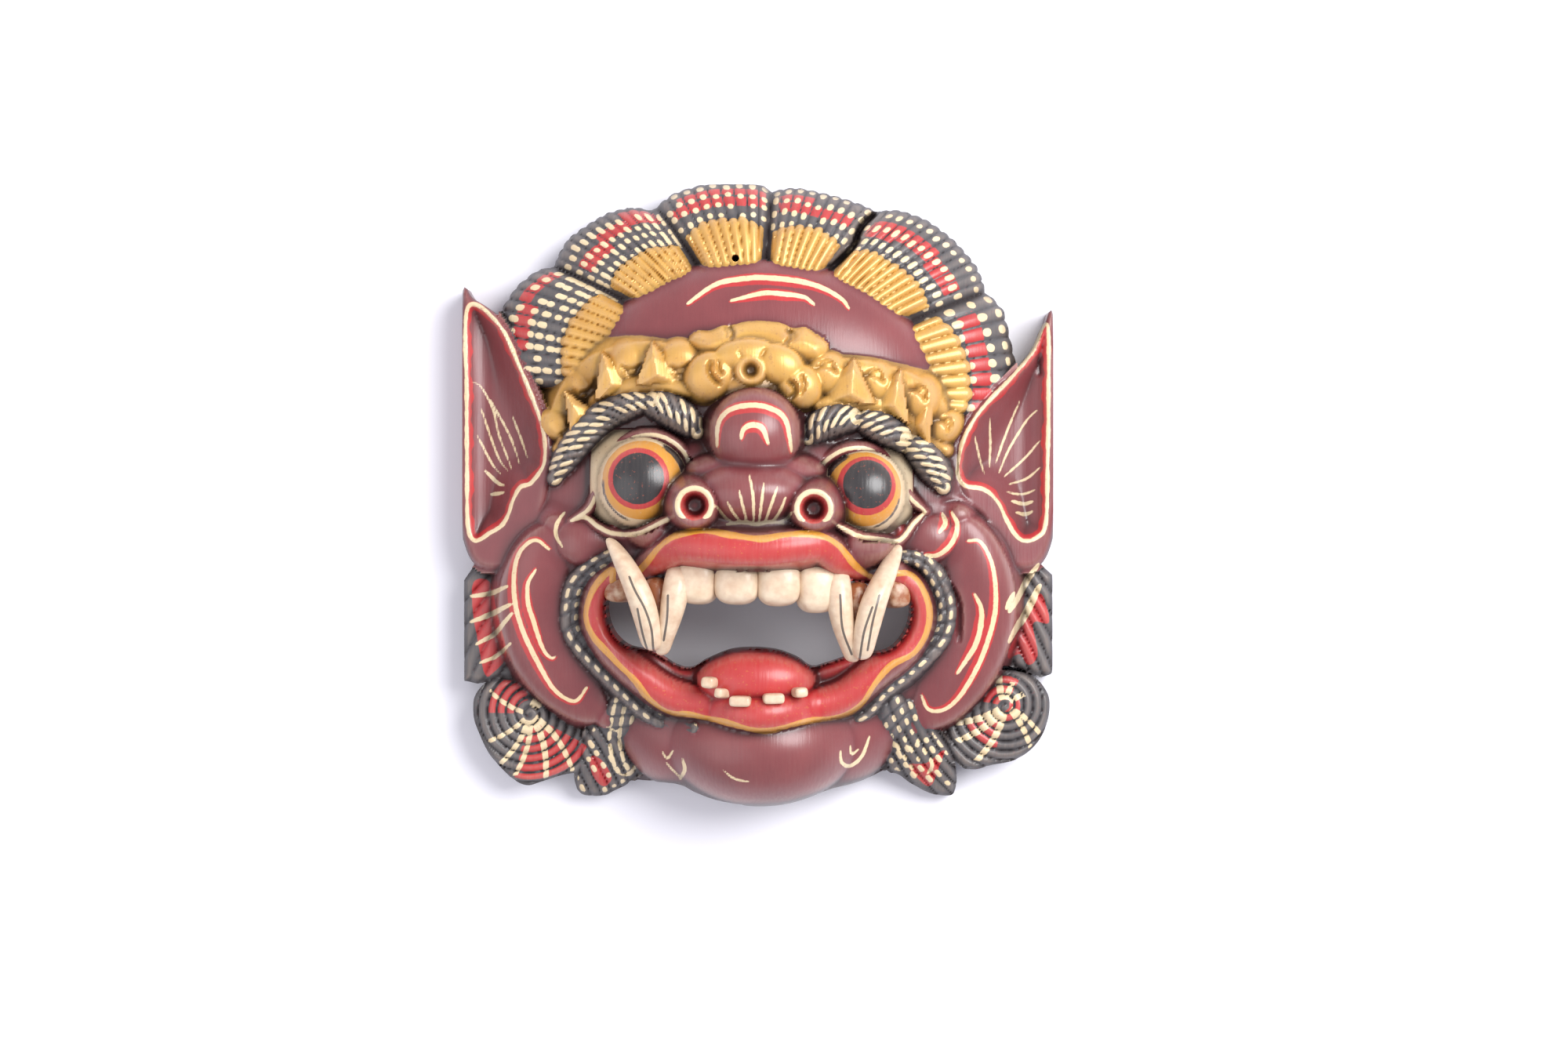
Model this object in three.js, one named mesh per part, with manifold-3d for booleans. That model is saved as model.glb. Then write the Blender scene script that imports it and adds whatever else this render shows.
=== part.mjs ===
// Carved and painted wooden guardian mask (barong), made from one block.
// It lies on the flat rim of its hollow back with the face up: +X is the viewer's right,
// +Y the top of the head and +Z out of the face. Units are millimetres.
import * as THREE from "three";
import { RoundedBoxGeometry } from "three/addons/geometries/RoundedBoxGeometry.js";
import { SimplifyModifier } from "three/addons/modifiers/SimplifyModifier.js";
import { mergeVertices } from "three/addons/utils/BufferGeometryUtils.js";
import Module from "manifold-3d";

const wasm = await Module();
wasm.setup();

// ---- Driving dimensions -------------------------------------------------------------------
const WIDTH = 266; // the block's two side faces, still flat at the ears and side locks
const HEIGHT = 280; // top of the crest to the underside of the chin
const HALF_WIDTH = WIDTH / 2;
const HALF_HEIGHT = HEIGHT / 2;
const WALL = 15; // wood left between the carving and the hollow
const HAIR = 0.02; // edges shorter than this are no part of the shape
const FACETS = 9600; // the carving is thinned to about this many, the flattest places first

// Domes: centre, half-axes, and the height their centre stands at.
const FACE = { x: 0, y: -12, rx: 118, ry: 127, z: 0, rz: 60 };
const MUZZLE = { x: 0, y: -18, rx: 64, ry: 38, z: 28, rz: 58 };
const FOREHEAD = { x: 3, y: 48, rx: 80, ry: 59, z: 30, rz: 36, turn: -5 };
const CHIN = { x: 2, y: -112, rx: 41, ry: 28, z: 26, rz: 38 };
const HOLLOW = { x: 0, y: -8, rx: 118 - 1.5 * WALL, ry: 127 - 1.5 * WALL, z: 0, rz: 60 - WALL };
const MUZZLE_HOLLOW = { x: 0, y: -26, rx: 46, ry: 30, z: 0, rz: 64 };

// The crest is a fan of fluted locks about one centre. Angles in degrees from +X.
const FAN = { x: 0.5, y: 42 };
const FAN_LOCKS = [
  { from: 172, to: 147, flutes: 11 },
  { from: 147, to: 119, flutes: 12 },
  { from: 119, to: 87, flutes: 9 },
  { from: 87, to: 58, flutes: 9 },
  { from: 58, to: 26, flutes: 13 },
  { from: 26, to: -4, flutes: 8 },
];
const FAN_OUTER = 98; // radius straight up; the fan widens sideways
const FAN_WIDENING = 22;
const FAN_INNER = 56;
const FAN_HIGH = 42;
const FAN_LOW = 15;
const FLUTE = { depth: 1.5, scallop: 1.1 };
const LOCK = { crown: 3.2, notch: 4 };

const CRACK = [
  [54, 127],
  [48, 122],
  [44, 113],
  [40, 107],
  [31, 100],
];

// Hand-carved, so the two sides differ: each run is listed from the nose outwards.
const DIADEMS = [
  [
    [-33, 60],
    [-50, 60],
    [-67, 54],
    [-80, 41],
    [-88, 22],
  ],
  [
    [32, 57],
    [47, 55],
    [61, 49],
    [74, 37],
    [84, 20],
  ],
];
const BROWS = [
  [
    [-25, 30],
    [-38, 37],
    [-52, 39],
    [-66, 36],
    [-78, 28],
    [-88, 13],
  ],
  [
    [22, 28],
    [36, 31],
    [51, 29],
    [64, 24],
    [74, 15],
    [81, 6],
  ],
];
const BROW_LOBES = 9;
const DIADEM_PIECES = 7;

const THIRD_EYE = { x: -0.8, y: 26, z: 73, r: 20 };
const EYES = [
  { x: -50.5, y: 3.5, corner: -85, cornerY: -12 },
  { x: 46.5, y: 0.5, corner: 76, cornerY: -8 },
];
const EYE_RADIUS = 19;
const EYE_Z = 60;
const NOSTRILS = [
  { x: -27, y: -5 },
  { x: 25, y: -6.5 },
];
const NOSTRIL = { hole: 6, ring: 8.4, z: 93, deep: 16 };
const HANGING_HOLE = { x: -9.7, y: 103.5, r: 1.5 };

// ---- Small tools --------------------------------------------------------------------------
const rad = THREE.MathUtils.degToRad;

/** Height of a dome over a point, or 0 outside its plan. */
function domeHeight(dome, x, y) {
  const turn = rad(dome.turn ?? 0);
  const dx = x - dome.x;
  const dy = y - dome.y;
  const u = (dx * Math.cos(turn) + dy * Math.sin(turn)) / dome.rx;
  const v = (-dx * Math.sin(turn) + dy * Math.cos(turn)) / dome.ry;
  const left = 1 - u * u - v * v;
  return left > 0 ? dome.z + dome.rz * Math.sqrt(left) : 0;
}

/** Height of the bare face, before eyes, lips and ornament stand on it. */
function skin(x, y) {
  return Math.max(...[FACE, MUZZLE, FOREHEAD, CHIN].map((dome) => domeHeight(dome, x, y)), 12);
}

/** A point standing lift above the bare face. */
function onSkin([x, y, lift = 0]) {
  return new THREE.Vector3(x, y, skin(x, y) + lift);
}

/** A closed geometry as a solid that can be joined and cut. */
function solid(geometry) {
  const bare = new THREE.BufferGeometry();
  bare.setAttribute("position", geometry.getAttribute("position"));
  bare.setIndex(geometry.getIndex());
  const merged = mergeVertices(bare, 1e-3);
  return new wasm.Manifold(
    new wasm.Mesh({
      numProp: 3,
      vertProperties: new Float32Array(merged.getAttribute("position").array),
      triVerts: new Uint32Array(merged.getIndex().array),
    }),
  );
}

/** An ellipsoid with its pole towards the viewer. */
function bulge(shape, around = 12, down = 8) {
  const ball = new THREE.SphereGeometry(1, around, down);
  ball.rotateX(Math.PI / 2);
  ball.scale(shape.rx, shape.ry, shape.rz);
  ball.rotateZ(rad(shape.turn ?? 0));
  ball.translate(shape.x, shape.y, shape.z);
  return solid(ball);
}

/** A rounded strand of the given width and height along a curve, with blunt or pointed ends. */
function strand(points, width, height, { sides = 6, steps = 10, point = 0.35 } = {}) {
  const curve = new THREE.CatmullRomCurve3(points);
  const rod = new THREE.CylinderGeometry(1, 1, 1, sides, steps);
  const position = rod.getAttribute("position");
  const up = new THREE.Vector3(0, 0, 1);
  for (let i = 0; i < position.count; i++) {
    const along = 0.5 - 0.5 * Math.cos(Math.PI * (position.getY(i) + 0.5));
    const ends = Math.sin(Math.PI * THREE.MathUtils.clamp(along, 0.02, 0.98)) ** point;
    const tangent = curve.getTangentAt(along);
    const side = new THREE.Vector3().crossVectors(tangent, up).normalize();
    const rise = new THREE.Vector3().crossVectors(side, tangent);
    const at = curve
      .getPointAt(along)
      .addScaledVector(side, (position.getX(i) * ends * width) / 2)
      .addScaledVector(rise, (position.getZ(i) * ends * height) / 2);
    position.setXYZ(i, at.x, at.y, at.z);
  }
  return solid(rod);
}

/** Points of a smooth closed outline through a few corners. */
function outline(corners, count) {
  const loop = new THREE.CatmullRomCurve3(
    corners.map(([x, y]) => new THREE.Vector3(x, y, 0)),
    true,
    "centripetal",
  );
  const points = loop.getSpacedPoints(count).slice(0, count);
  return THREE.ShapeUtils.isClockWise(points) ? points.reverse() : points;
}

/** An outline drawn in by a distance, as another ring of as many points. */
function inset(ring, distance) {
  return ring.map((p, i) => {
    const before = ring[(i + ring.length - 1) % ring.length];
    const after = ring[(i + 1) % ring.length];
    const along = new THREE.Vector3().subVectors(after, before).normalize();
    return new THREE.Vector3(p.x - along.y * distance, p.y + along.x * distance, p.z);
  });
}

/** A solid through rings of equal length, closed flat below and above. */
function loft(rings) {
  const n = rings[0].length;
  const vertices = rings.flat().flatMap((p) => [p.x, p.y, p.z]);
  const index = [];
  rings.slice(1).forEach((_, r) => {
    for (let i = 0; i < n; i++) {
      const [a, b] = [r * n + i, r * n + ((i + 1) % n)];
      index.push(a, b, b + n, a, b + n, a + n);
    }
  });
  const widest = rings.reduce((a, b) =>
    THREE.ShapeUtils.area(a) >= THREE.ShapeUtils.area(b) ? a : b,
  );
  const plan = widest.map((p) => new THREE.Vector2(p.x, p.y));
  const top = (rings.length - 1) * n;
  THREE.ShapeUtils.triangulateShape(plan, []).forEach(([a, b, c]) => {
    index.push(a, c, b, top + a, top + b, top + c);
  });
  const geometry = new THREE.BufferGeometry();
  geometry.setAttribute("position", new THREE.Float32BufferAttribute(vertices, 3));
  geometry.setIndex(index);
  return solid(geometry);
}

/** A ring lifted to the height that a function gives at each of its points. */
function raised(ring, height) {
  return ring.map((p) => new THREE.Vector3(p.x, p.y, height(p.x, p.y)));
}

/** A flat-backed board with a rounded upper edge, its top following a height function. */
function board(corners, count, top, edge = 4) {
  const ring = outline(corners, count);
  return loft([
    raised(ring, () => 0),
    raised(ring, (x, y) => top(x, y) - edge),
    raised(inset(ring, edge * 0.35), (x, y) => top(x, y) - edge * 0.3),
    raised(inset(ring, edge), top),
  ]);
}

// ---- The carved forms ---------------------------------------------------------------------

/** The crest: a fan of locks, each crowned and cut into radial flutes that scallop its rim. */
function crest() {
  const samples = 2; // across one flute
  const stations = 4; // from the forehead to the rim
  const total = FAN_LOCKS.reduce((sum, lock) => sum + lock.flutes, 0) * samples;
  const box = new THREE.BoxGeometry(1, 1, 1, total, stations, 1);
  const position = box.getAttribute("position");
  for (let i = 0; i < position.count; i++) {
    let step = Math.round((position.getX(i) + 0.5) * total);
    const lock = FAN_LOCKS.find((l) => {
      if (step <= l.flutes * samples) return true;
      step -= l.flutes * samples;
      return false;
    });
    const across = step / (lock.flutes * samples);
    const angle = rad(lock.from + (lock.to - lock.from) * across);
    const flute = Math.abs(Math.sin(Math.PI * lock.flutes * across));
    const crown = Math.sin(Math.PI * across) ** 0.5;
    const out = position.getY(i) + 0.5;
    const reach =
      FAN_OUTER +
      FAN_WIDENING * Math.cos(angle) ** 2 +
      LOCK.notch * (crown - 1) +
      FLUTE.scallop * flute;
    const r = FAN_INNER + (reach - FAN_INNER) * Math.sin((out * Math.PI) / 2) ** 0.9;
    const slope = FAN_HIGH + (FAN_LOW - FAN_HIGH) * out ** 1.4;
    const rounding = out > 0.99 ? 6 : 0;
    const top = slope + LOCK.crown * (crown - 1) + FLUTE.depth * flute * out ** 0.3 - rounding;
    position.setXYZ(
      i,
      FAN.x + r * Math.cos(angle),
      FAN.y + r * Math.sin(angle),
      position.getZ(i) > 0 ? top : 0,
    );
  }
  return solid(box);
}

/** The old drying crack between two locks of the crest. */
function crack() {
  const points = CRACK.map(([x, y]) => new THREE.Vector3(x, y, FAN_HIGH - 6));
  return strand(points, 1.8, 26, { sides: 4, steps: 7, point: 0.2 });
}

/** One ear: a leaf-shaped board with a sloping wall, a raised rim and a scooped bowl. */
function ear(side) {
  const corners = [
    [-134, 90],
    [-128, 88],
    [-115, 78],
    [-103, 58],
    [-94, 36],
    [-90, 22],
    [-92, 8],
    [-96, -10],
    [-108, -30],
    [-122, -34],
    [-131, -25],
    [-137, 0],
    [-139, 45],
  ].map(([x, y]) => [side > 0 ? -x : x, side > 0 ? y - 8 * Math.max(0, y / 90) : y]);
  const bowlCorners = [
    [-131, 78],
    [-118, 68],
    [-107, 48],
    [-99, 28],
    [-98, 14],
    [-104, 6],
    [-110, -2],
    [-115, -14],
    [-122, -17],
    [-128, -8],
    [-130.5, 14],
    [-131.5, 45],
  ].map(([x, y]) => [side > 0 ? -x : x, side > 0 ? y - 8 * Math.max(0, y / 90) : y]);
  const rimHeight = (x) => 22 + (HALF_WIDTH - Math.abs(x)) * 0.42;
  const ring = outline(corners, 28);
  const body = loft([
    raised(ring, () => 0),
    raised(ring, (x) => rimHeight(x) - 9),
    raised(inset(ring, 2.2), rimHeight),
  ]);
  const mouth = outline(bowlCorners, 24);
  const bowl = loft([
    raised(inset(mouth, 6), (x) => rimHeight(x) - 11),
    raised(inset(mouth, 2), (x) => rimHeight(x) - 8),
    raised(mouth, (x) => rimHeight(x) + 1),
    raised(mouth, () => 60),
  ]);
  return body.subtract(bowl);
}

/** A hair lock below an ear: an upright board with slanting ridges. */
function sideLock(side) {
  const at = (x, y) => [side * x, y];
  const height = () => 19;
  const lock = board(
    [
      at(98, -30),
      at(126, -31),
      at(133, -38),
      at(134, -60),
      at(133.5, -82),
      at(124, -84),
      at(108, -80),
      at(98, -62),
    ],
    18,
    height,
    3,
  );
  const ridges = [0, 1, 2, 3, 4].map((n) => {
    const start = new THREE.Vector3(side * (103 + n * 6.5), -38 + n * 1.5, 18);
    const end = new THREE.Vector3(side * (112 + n * 5), -76 + n * 1.5, 17);
    const middle = start.clone().lerp(end, 0.5);
    middle.x += side * 4.5;
    middle.z += 1;
    return strand([start, middle, end], 5.5, 8, { steps: 3, sides: 5 });
  });
  return [lock, ...ridges];
}

/** The spiral curl at a jaw corner: a round board with a strand wound on it. */
function curl(x, y, rx, ry, hand) {
  const round = Array.from({ length: 10 }, (_, i) => {
    const a = (i / 10) * 2 * Math.PI;
    return [x + rx * Math.cos(a), y + ry * Math.sin(a)];
  });
  const base = board(round, 20, () => 17, 3);
  const turns = 2.6;
  const count = 26;
  const spiral = Array.from({ length: count + 1 }, (_, i) => {
    const t = i / count;
    const a = hand * (turns * 2 * Math.PI * t) + Math.PI / 2;
    const share = 0.14 + 0.72 * t;
    return new THREE.Vector3(x + rx * share * Math.cos(a), y + ry * share * Math.sin(a), 17);
  });
  return [base, strand(spiral, 5.2, 9, { sides: 5, steps: 28, point: 0.25 })];
}

/** A beard tuft: a tapering board from beside the lower lip to the rim, ridged along its length. */
function tuft(side) {
  const at = (x, y) => [side * x, y];
  const toe = board(
    [
      at(56, -84),
      at(72, -90),
      at(82, -106),
      at(86, -124),
      at(85, -134),
      at(78, -137.5),
      at(68, -134),
      at(56, -126),
      at(50, -108),
    ],
    20,
    (x, y) => 17 + Math.max(0, y + 125) * 0.55,
    3,
  );
  const ridges = [0, 1, 2, 3].map((n) => {
    const [top, foot] = [
      new THREE.Vector3(side * (54 + n * 6), -86 - n * 2, 38 - n * 3),
      new THREE.Vector3(side * (64 + n * 6.5), -129 + n * 0.5, 15),
    ];
    const middle = top.clone().lerp(foot, 0.5);
    middle.x += side * 4;
    middle.z += 2;
    return strand([top, middle, foot], 7, 10, { steps: 5, sides: 6 });
  });
  return [toe, ...ridges];
}

/** The diadem: a band with leaves and faceted points by turns, from the boss to the temple. */
function diadem(run) {
  const path = new THREE.CatmullRomCurve3(run.map(([x, y]) => onSkin([x, y, 4])));
  const band = strand(path.getPoints(6), 20, 15, { steps: 9, point: 0.15 });
  const hand = Math.sign(run[0][0]);
  const ornaments = Array.from({ length: DIADEM_PIECES }, (_, n) => {
    const t = (n + 0.5) / DIADEM_PIECES;
    const at = path.getPointAt(t);
    const along = path.getTangentAt(t);
    const outward = Math.atan2(hand * along.x, -hand * along.y);
    at.x += 2.5 * Math.cos(outward);
    at.y += 2.5 * Math.sin(outward);
    if (n % 2 === 0) {
      const leaf = { x: at.x, y: at.y, z: at.z + 5, rx: 13, ry: 7, rz: 8.5 };
      return bulge({ ...leaf, turn: THREE.MathUtils.radToDeg(outward) }, 8, 6);
    }
    const point = new THREE.ConeGeometry(14, 27, 4);
    point.rotateZ(outward - Math.PI / 2);
    point.translate(at.x, at.y, at.z + 4);
    return solid(point);
  });
  return [band, ...ornaments];
}

/** The gold flower over the third eye: two curled lobes, a pierced heart and a crown of leaves. */
function boss() {
  const lobes = [
    { x: -20, y: 49, rx: 11, ry: 12, turn: 10, z: 66, rz: 10 },
    { x: 23, y: 46, rx: 11, ry: 12, turn: -15, z: 66, rz: 10 },
    { x: -1, y: 55, rx: 17, ry: 13, turn: 0, z: 68, rz: 9 },
    { x: -24, y: 65, rx: 11, ry: 7, turn: 35, z: 58, rz: 10 },
    { x: -9, y: 70, rx: 9, ry: 9, turn: 0, z: 59, rz: 11 },
    { x: 9, y: 70, rx: 9, ry: 9, turn: 0, z: 59, rz: 11 },
    { x: 25, y: 63, rx: 12, ry: 7, turn: -40, z: 58, rz: 10 },
  ].map((lobe) => bulge(lobe, 12, 6));
  const scrolls = [
    [-20, 49],
    [23, 46],
  ].map(([x, y]) => {
    const scroll = new THREE.TorusGeometry(6, 2, 5, 10);
    scroll.translate(x, y, 75);
    return solid(scroll);
  });
  const heart = new THREE.CylinderGeometry(4.5, 2.5, 12, 10);
  heart.rotateX(Math.PI / 2);
  heart.translate(-2, 53, 78);
  return [union([...lobes, ...scrolls]).subtract(solid(heart))];
}

/** A brow: short slanting lobes that overlap like the strands of a rope. */
function brow(run) {
  const path = new THREE.CatmullRomCurve3(run.map(([x, y]) => onSkin([x, y, 3])));
  const core = strand(path.getPoints(6), 13, 15, { steps: 9 });
  const lobes = Array.from({ length: BROW_LOBES }, (_, n) => {
    const t = (n + 0.5) / BROW_LOBES;
    const middle = path.getPointAt(t);
    const along = path.getTangentAt(t).setZ(0).normalize();
    const across = new THREE.Vector3(-along.y, along.x, 0);
    const [a, b] = [-1, 1].map((end) =>
      middle
        .clone()
        .addScaledVector(across, end * 9)
        .addScaledVector(along, end * 4),
    );
    middle.z += 6;
    return strand([a, middle, b], 8.5, 10, { steps: 4, sides: 6, point: 0.3 });
  });
  return [core, ...lobes];
}

/** An eyeball in its almond lids, drawn out to a corner beside the temple. */
function eye({ x, y, corner, cornerY }) {
  const side = Math.sign(x);
  const ball = bulge({ x, y, z: EYE_Z, rx: EYE_RADIUS, ry: EYE_RADIUS, rz: EYE_RADIUS }, 16, 10);
  const ring = (a, r) => [x + side * r * Math.cos(rad(a)), y + r * Math.sin(rad(a))];
  const lid = (angles, lift) =>
    strand(
      [[corner, cornerY, 3], ...angles.map((a) => [...ring(a, EYE_RADIUS + 1.5), lift])].map(onSkin),
      5,
      9,
      { steps: 10, sides: 5 },
    );
  return [ball, lid([15, 60, 105, 150, 190], 5), lid([-50, -95, -140, -175], 4)];
}

/** Nose, with a ringed nostril on either side of the tip. */
function nose() {
  const forms = [
    bulge({ x: -2, y: -1, z: 76, rx: 25, ry: 12, rz: 21 }, 14, 8),
    bulge({ x: -1, y: 10, z: 68, rx: 15, ry: 14, rz: 18 }),
    ...NOSTRILS.map(({ x, y }) => bulge({ x, y, z: 76, rx: 10.5, ry: 10.5, rz: 19 })),
  ];
  const rings = NOSTRILS.map(({ x, y }) => {
    const ring = new THREE.TorusGeometry(NOSTRIL.ring - 1.6, 1.8, 5, 12);
    ring.translate(x, y, NOSTRIL.z - 1.5);
    return solid(ring);
  });
  return [...forms, ...rings];
}

/** Upper lip: a thick wave over the teeth. */
function upperLip() {
  const points = [
    [-62, -40, 4],
    [-50, -34, 5],
    [-39, -27, 4],
    [-28, -22, 4],
    [0, -24, 5],
    [25, -22, 4],
    [36, -29, 4],
    [47, -36, 5],
    [60, -40, 4],
  ].map(onSkin);
  return strand(points, 14, 15, { sides: 6, steps: 14, point: 0.3 });
}

/** Lower lip: runs from one mouth corner under the tongue to the other. */
function lowerLip() {
  const points = [
    [-60, -34, 2],
    [-68, -42, 4],
    [-70, -56, 5],
    [-62, -70, 6],
    [-50, -81, 8],
    [-37, -90, 9],
    [0, -97, 10],
    [37, -91, 9],
    [51, -80, 8],
    [63, -70, 6],
    [71, -56, 5],
    [69, -43, 4],
    [61, -35, 2],
  ].map(onSkin);
  return strand(points, 15, 17, { sides: 6, steps: 20, point: 0.2 });
}

/** The whole mouth opening, before teeth and tusks bridge it. */
function mouthOpening() {
  const ring = outline(
    [
      [-66, -47],
      [-65, -59],
      [-58, -67],
      [-46, -70],
      [-33, -77],
      [-25, -75],
      [-10, -68.5],
      [6, -68.5],
      [20, -75],
      [29, -77],
      [44, -71],
      [58, -69],
      [66, -60],
      [67, -48],
      [56, -41],
      [0, -33],
      [-56, -40],
    ],
    44,
  );
  return loft([raised(ring, () => -10), raised(ring, () => 120)]);
}

/** Teeth, molars and the four tusks. */
function teeth() {
  const incisors = [-24.6, -8.3, 9, 25.6].map((x) => {
    const tooth = new RoundedBoxGeometry(16.4, 21, 20, 2, 5);
    tooth.rotateX(rad(-8));
    tooth.rotateY(rad(x * 0.7));
    tooth.translate(x, -39 - Math.abs(x) * 0.06, 70 - Math.abs(x) * 0.2);
    return solid(tooth);
  });
  const molars = [-60, 59].map((x) => bulge({ x, y: -43, z: 50, rx: 8, ry: 7, rz: 9 }, 8, 6));
  const tusk = (points, width) =>
    strand(
      points.map((p) => new THREE.Vector3(...p)),
      width,
      12,
      { sides: 7, steps: 8, point: 0.22 },
    );
  const pair = (side) => [
    tusk(
      [
        [side * 65, -20, 60],
        [side * 54, -33, 69],
        [side * 48, -47, 71],
        [side * 45.5, -61, 67],
        [side * 44, -77, 58],
      ],
      11,
    ),
    tusk(
      [
        [side * 33, -33, 73],
        [side * 34.5, -50, 72],
        [side * 38, -63, 67],
        [side * 42, -77, 58],
      ],
      11.5,
    ),
  ];
  return [...incisors, ...molars, ...pair(-1), ...pair(1)];
}

/** Tongue, with the stumps of the lower teeth in front of it. */
function tongue() {
  const body = bulge({ x: -1, y: -81, z: 50, rx: 25, ry: 13, rz: 14 }, 12, 8);
  const stumps = [
    [-20, -83],
    [-7, -90],
    [7, -90],
    [19, -87],
  ].map(([x, y]) => bulge({ x, y, z: 60, rx: 5.5, ry: 3, rz: 5 }, 8, 6));
  return [body, ...stumps];
}

/** The soft parts of the face: pads beside the nose, under the eyes, and the long cheeks. */
function cheeks() {
  return [
    { x: -45, y: -15, z: 58, rx: 14, ry: 12, rz: 15, turn: -20 },
    { x: 46, y: -20, z: 58, rx: 14, ry: 12, rz: 15, turn: 20 },
    { x: -76, y: -22, z: 38, rx: 13, ry: 16, rz: 13, turn: 0 },
    { x: 75, y: -19, z: 38, rx: 13, ry: 16, rz: 13, turn: 0 },
    { x: -97, y: -52, z: 20, rx: 16, ry: 38, rz: 22, turn: 7 },
    { x: 95, y: -56, z: 22, rx: 16, ry: 42, rz: 23, turn: -7 },
    { x: -80, y: -92, z: 20, rx: 17, ry: 22, rz: 18, turn: 25 },
    { x: 80, y: -90, z: 20, rx: 16, ry: 22, rz: 18, turn: -25 },
  ].map((form) => bulge(form, 12, 6));
}

/** The moustache: a plaited band round each mouth corner. */
function moustache(side) {
  const points = [
    [64, -26, 2],
    [78, -32, 3],
    [83.5, -45, 3],
    [83.5, -59, 3],
    [77, -72, 3],
    [67, -82, 3],
    [58, -91, 3],
  ].map(([x, y, lift]) => onSkin([side * x, y, lift]));
  return strand(points, 9, 11, { sides: 5, steps: 9, point: 0.3 });
}

// ---- Joining ------------------------------------------------------------------------------

/** Many solids joined into one. */
function union(parts) {
  return parts.reduce((whole, part) => whole.add(part));
}

/** The largest connected surface alone, so that no pocket stays sealed under an ornament. */
function filled(manifold) {
  return manifold.decompose().reduce((a, b) => (a.volume() > b.volume() ? a : b));
}

/** The block's own faces: the carving never passes them, and the back is sawn flat. */
function block() {
  const stock = new THREE.BoxGeometry(WIDTH, HEIGHT, 120);
  stock.translate(0, 0, 60);
  return solid(stock);
}

function mask() {
  const face = union([
    bulge(FACE, 24, 12),
    bulge(FOREHEAD, 22, 10),
    bulge(MUZZLE, 16, 8),
    bulge(CHIN, 18, 8),
    crest(),
    ...cheeks(),
    ear(-1),
    ear(1),
  ]);
  const ornaments = [
    bulge({ ...THIRD_EYE, rx: THIRD_EYE.r, ry: THIRD_EYE.r, rz: THIRD_EYE.r }, 18, 10),
    ...boss(),
    ...DIADEMS.flatMap(diadem),
    ...BROWS.flatMap(brow),
    ...[-1, 1].flatMap((side) => [...sideLock(side), ...tuft(side), moustache(side)]),
    ...EYES.flatMap(eye),
    ...nose(),
    ...curl(-104, -107, 23, 25, 1),
    ...curl(111, -102, 22.5, 24, -1),
    upperLip(),
    lowerLip(),
  ];
  const carved = filled(union([face, ...ornaments]));
  const hollow = union([bulge(HOLLOW, 20, 10), bulge(MUZZLE_HOLLOW, 14, 8)]);
  const holes = NOSTRILS.map(({ x, y }) => {
    const hole = new THREE.CylinderGeometry(NOSTRIL.hole, NOSTRIL.hole * 0.8, NOSTRIL.deep, 10);
    hole.rotateX(Math.PI / 2);
    hole.translate(x, y, NOSTRIL.z + 2 - NOSTRIL.deep / 2);
    return solid(hole);
  });
  const hanging = new THREE.CylinderGeometry(HANGING_HOLE.r, HANGING_HOLE.r, 140, 10);
  hanging.rotateX(Math.PI / 2);
  hanging.translate(HANGING_HOLE.x, HANGING_HOLE.y, 0);
  const pierced = carved
    .subtract(hollow)
    .subtract(mouthOpening())
    .add(union(tongue()))
    .add(union(teeth()))
    .subtract(union(holes))
    .subtract(solid(hanging));
  return filled(pierced.subtract(crack()).intersect(block()));
}

/** A solid back as a three.js geometry. */
function geometryOf(manifold) {
  const mesh = manifold.getMesh();
  const geometry = new THREE.BufferGeometry();
  geometry.setAttribute("position", new THREE.Float32BufferAttribute(mesh.vertProperties, 3));
  geometry.setIndex(Array.from(mesh.triVerts));
  return geometry;
}

/** Draws in the points where two parts of the skin just touch, so that each keeps its own. */
function parted(geometry) {
  geometry.computeVertexNormals();
  const { position, normal } = geometry.attributes;
  const point = new THREE.Vector3();
  const groups = new Map();
  for (let i = 0; i < position.count; i++) {
    const place = point.fromBufferAttribute(position, i).divideScalar(HAIR).round();
    const key = place.toArray().join();
    groups.set(key, [...(groups.get(key) ?? []), i]);
  }
  for (const i of [...groups.values()].filter((group) => group.length > 1).flat()) {
    const inward = new THREE.Vector3().fromBufferAttribute(normal, i).multiplyScalar(-HAIR);
    point.fromBufferAttribute(position, i).add(inward);
    position.setXYZ(i, ...point);
  }
  return geometry;
}

/** A solid with the facets of its flattest places merged, down to about the number asked for. */
async function thinned(manifold, facets) {
  const clean = filled(manifold.simplify(HAIR));
  const spare = clean.numVert() * (1 - facets / clean.numTri());
  const fewer = await new SimplifyModifier().modify(geometryOf(clean), Math.max(0, spare));
  return parted(geometryOf(filled(solid(fewer).simplify(HAIR))));
}

const paintedWood = new THREE.MeshStandardMaterial({
  name: "painted_wood",
  color: new THREE.Color(0.36, 0.14, 0.13),
  roughness: 0.45,
  metalness: 0,
});

const carving = new THREE.Mesh(await thinned(mask(), FACETS), paintedWood);
carving.geometry.computeVertexNormals();
carving.name = "mask";

const barongMask = new THREE.Group();
barongMask.add(carving);

export default barongMask;
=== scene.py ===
"""A carved and painted guardian mask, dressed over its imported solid.

Sizes inside the classes are millimetres in the carver's own frame: x to the viewer's right,
y to the top of the crest, z out of the face, from the middle of the sawn back.
"""

import sys
import logging
from dataclasses import dataclass, field
from enum import Enum
from math import cos, degrees, pi, radians, sin

import bpy
import numpy as np
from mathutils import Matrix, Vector
from mathutils.geometry import delaunay_2d_cdt


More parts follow.
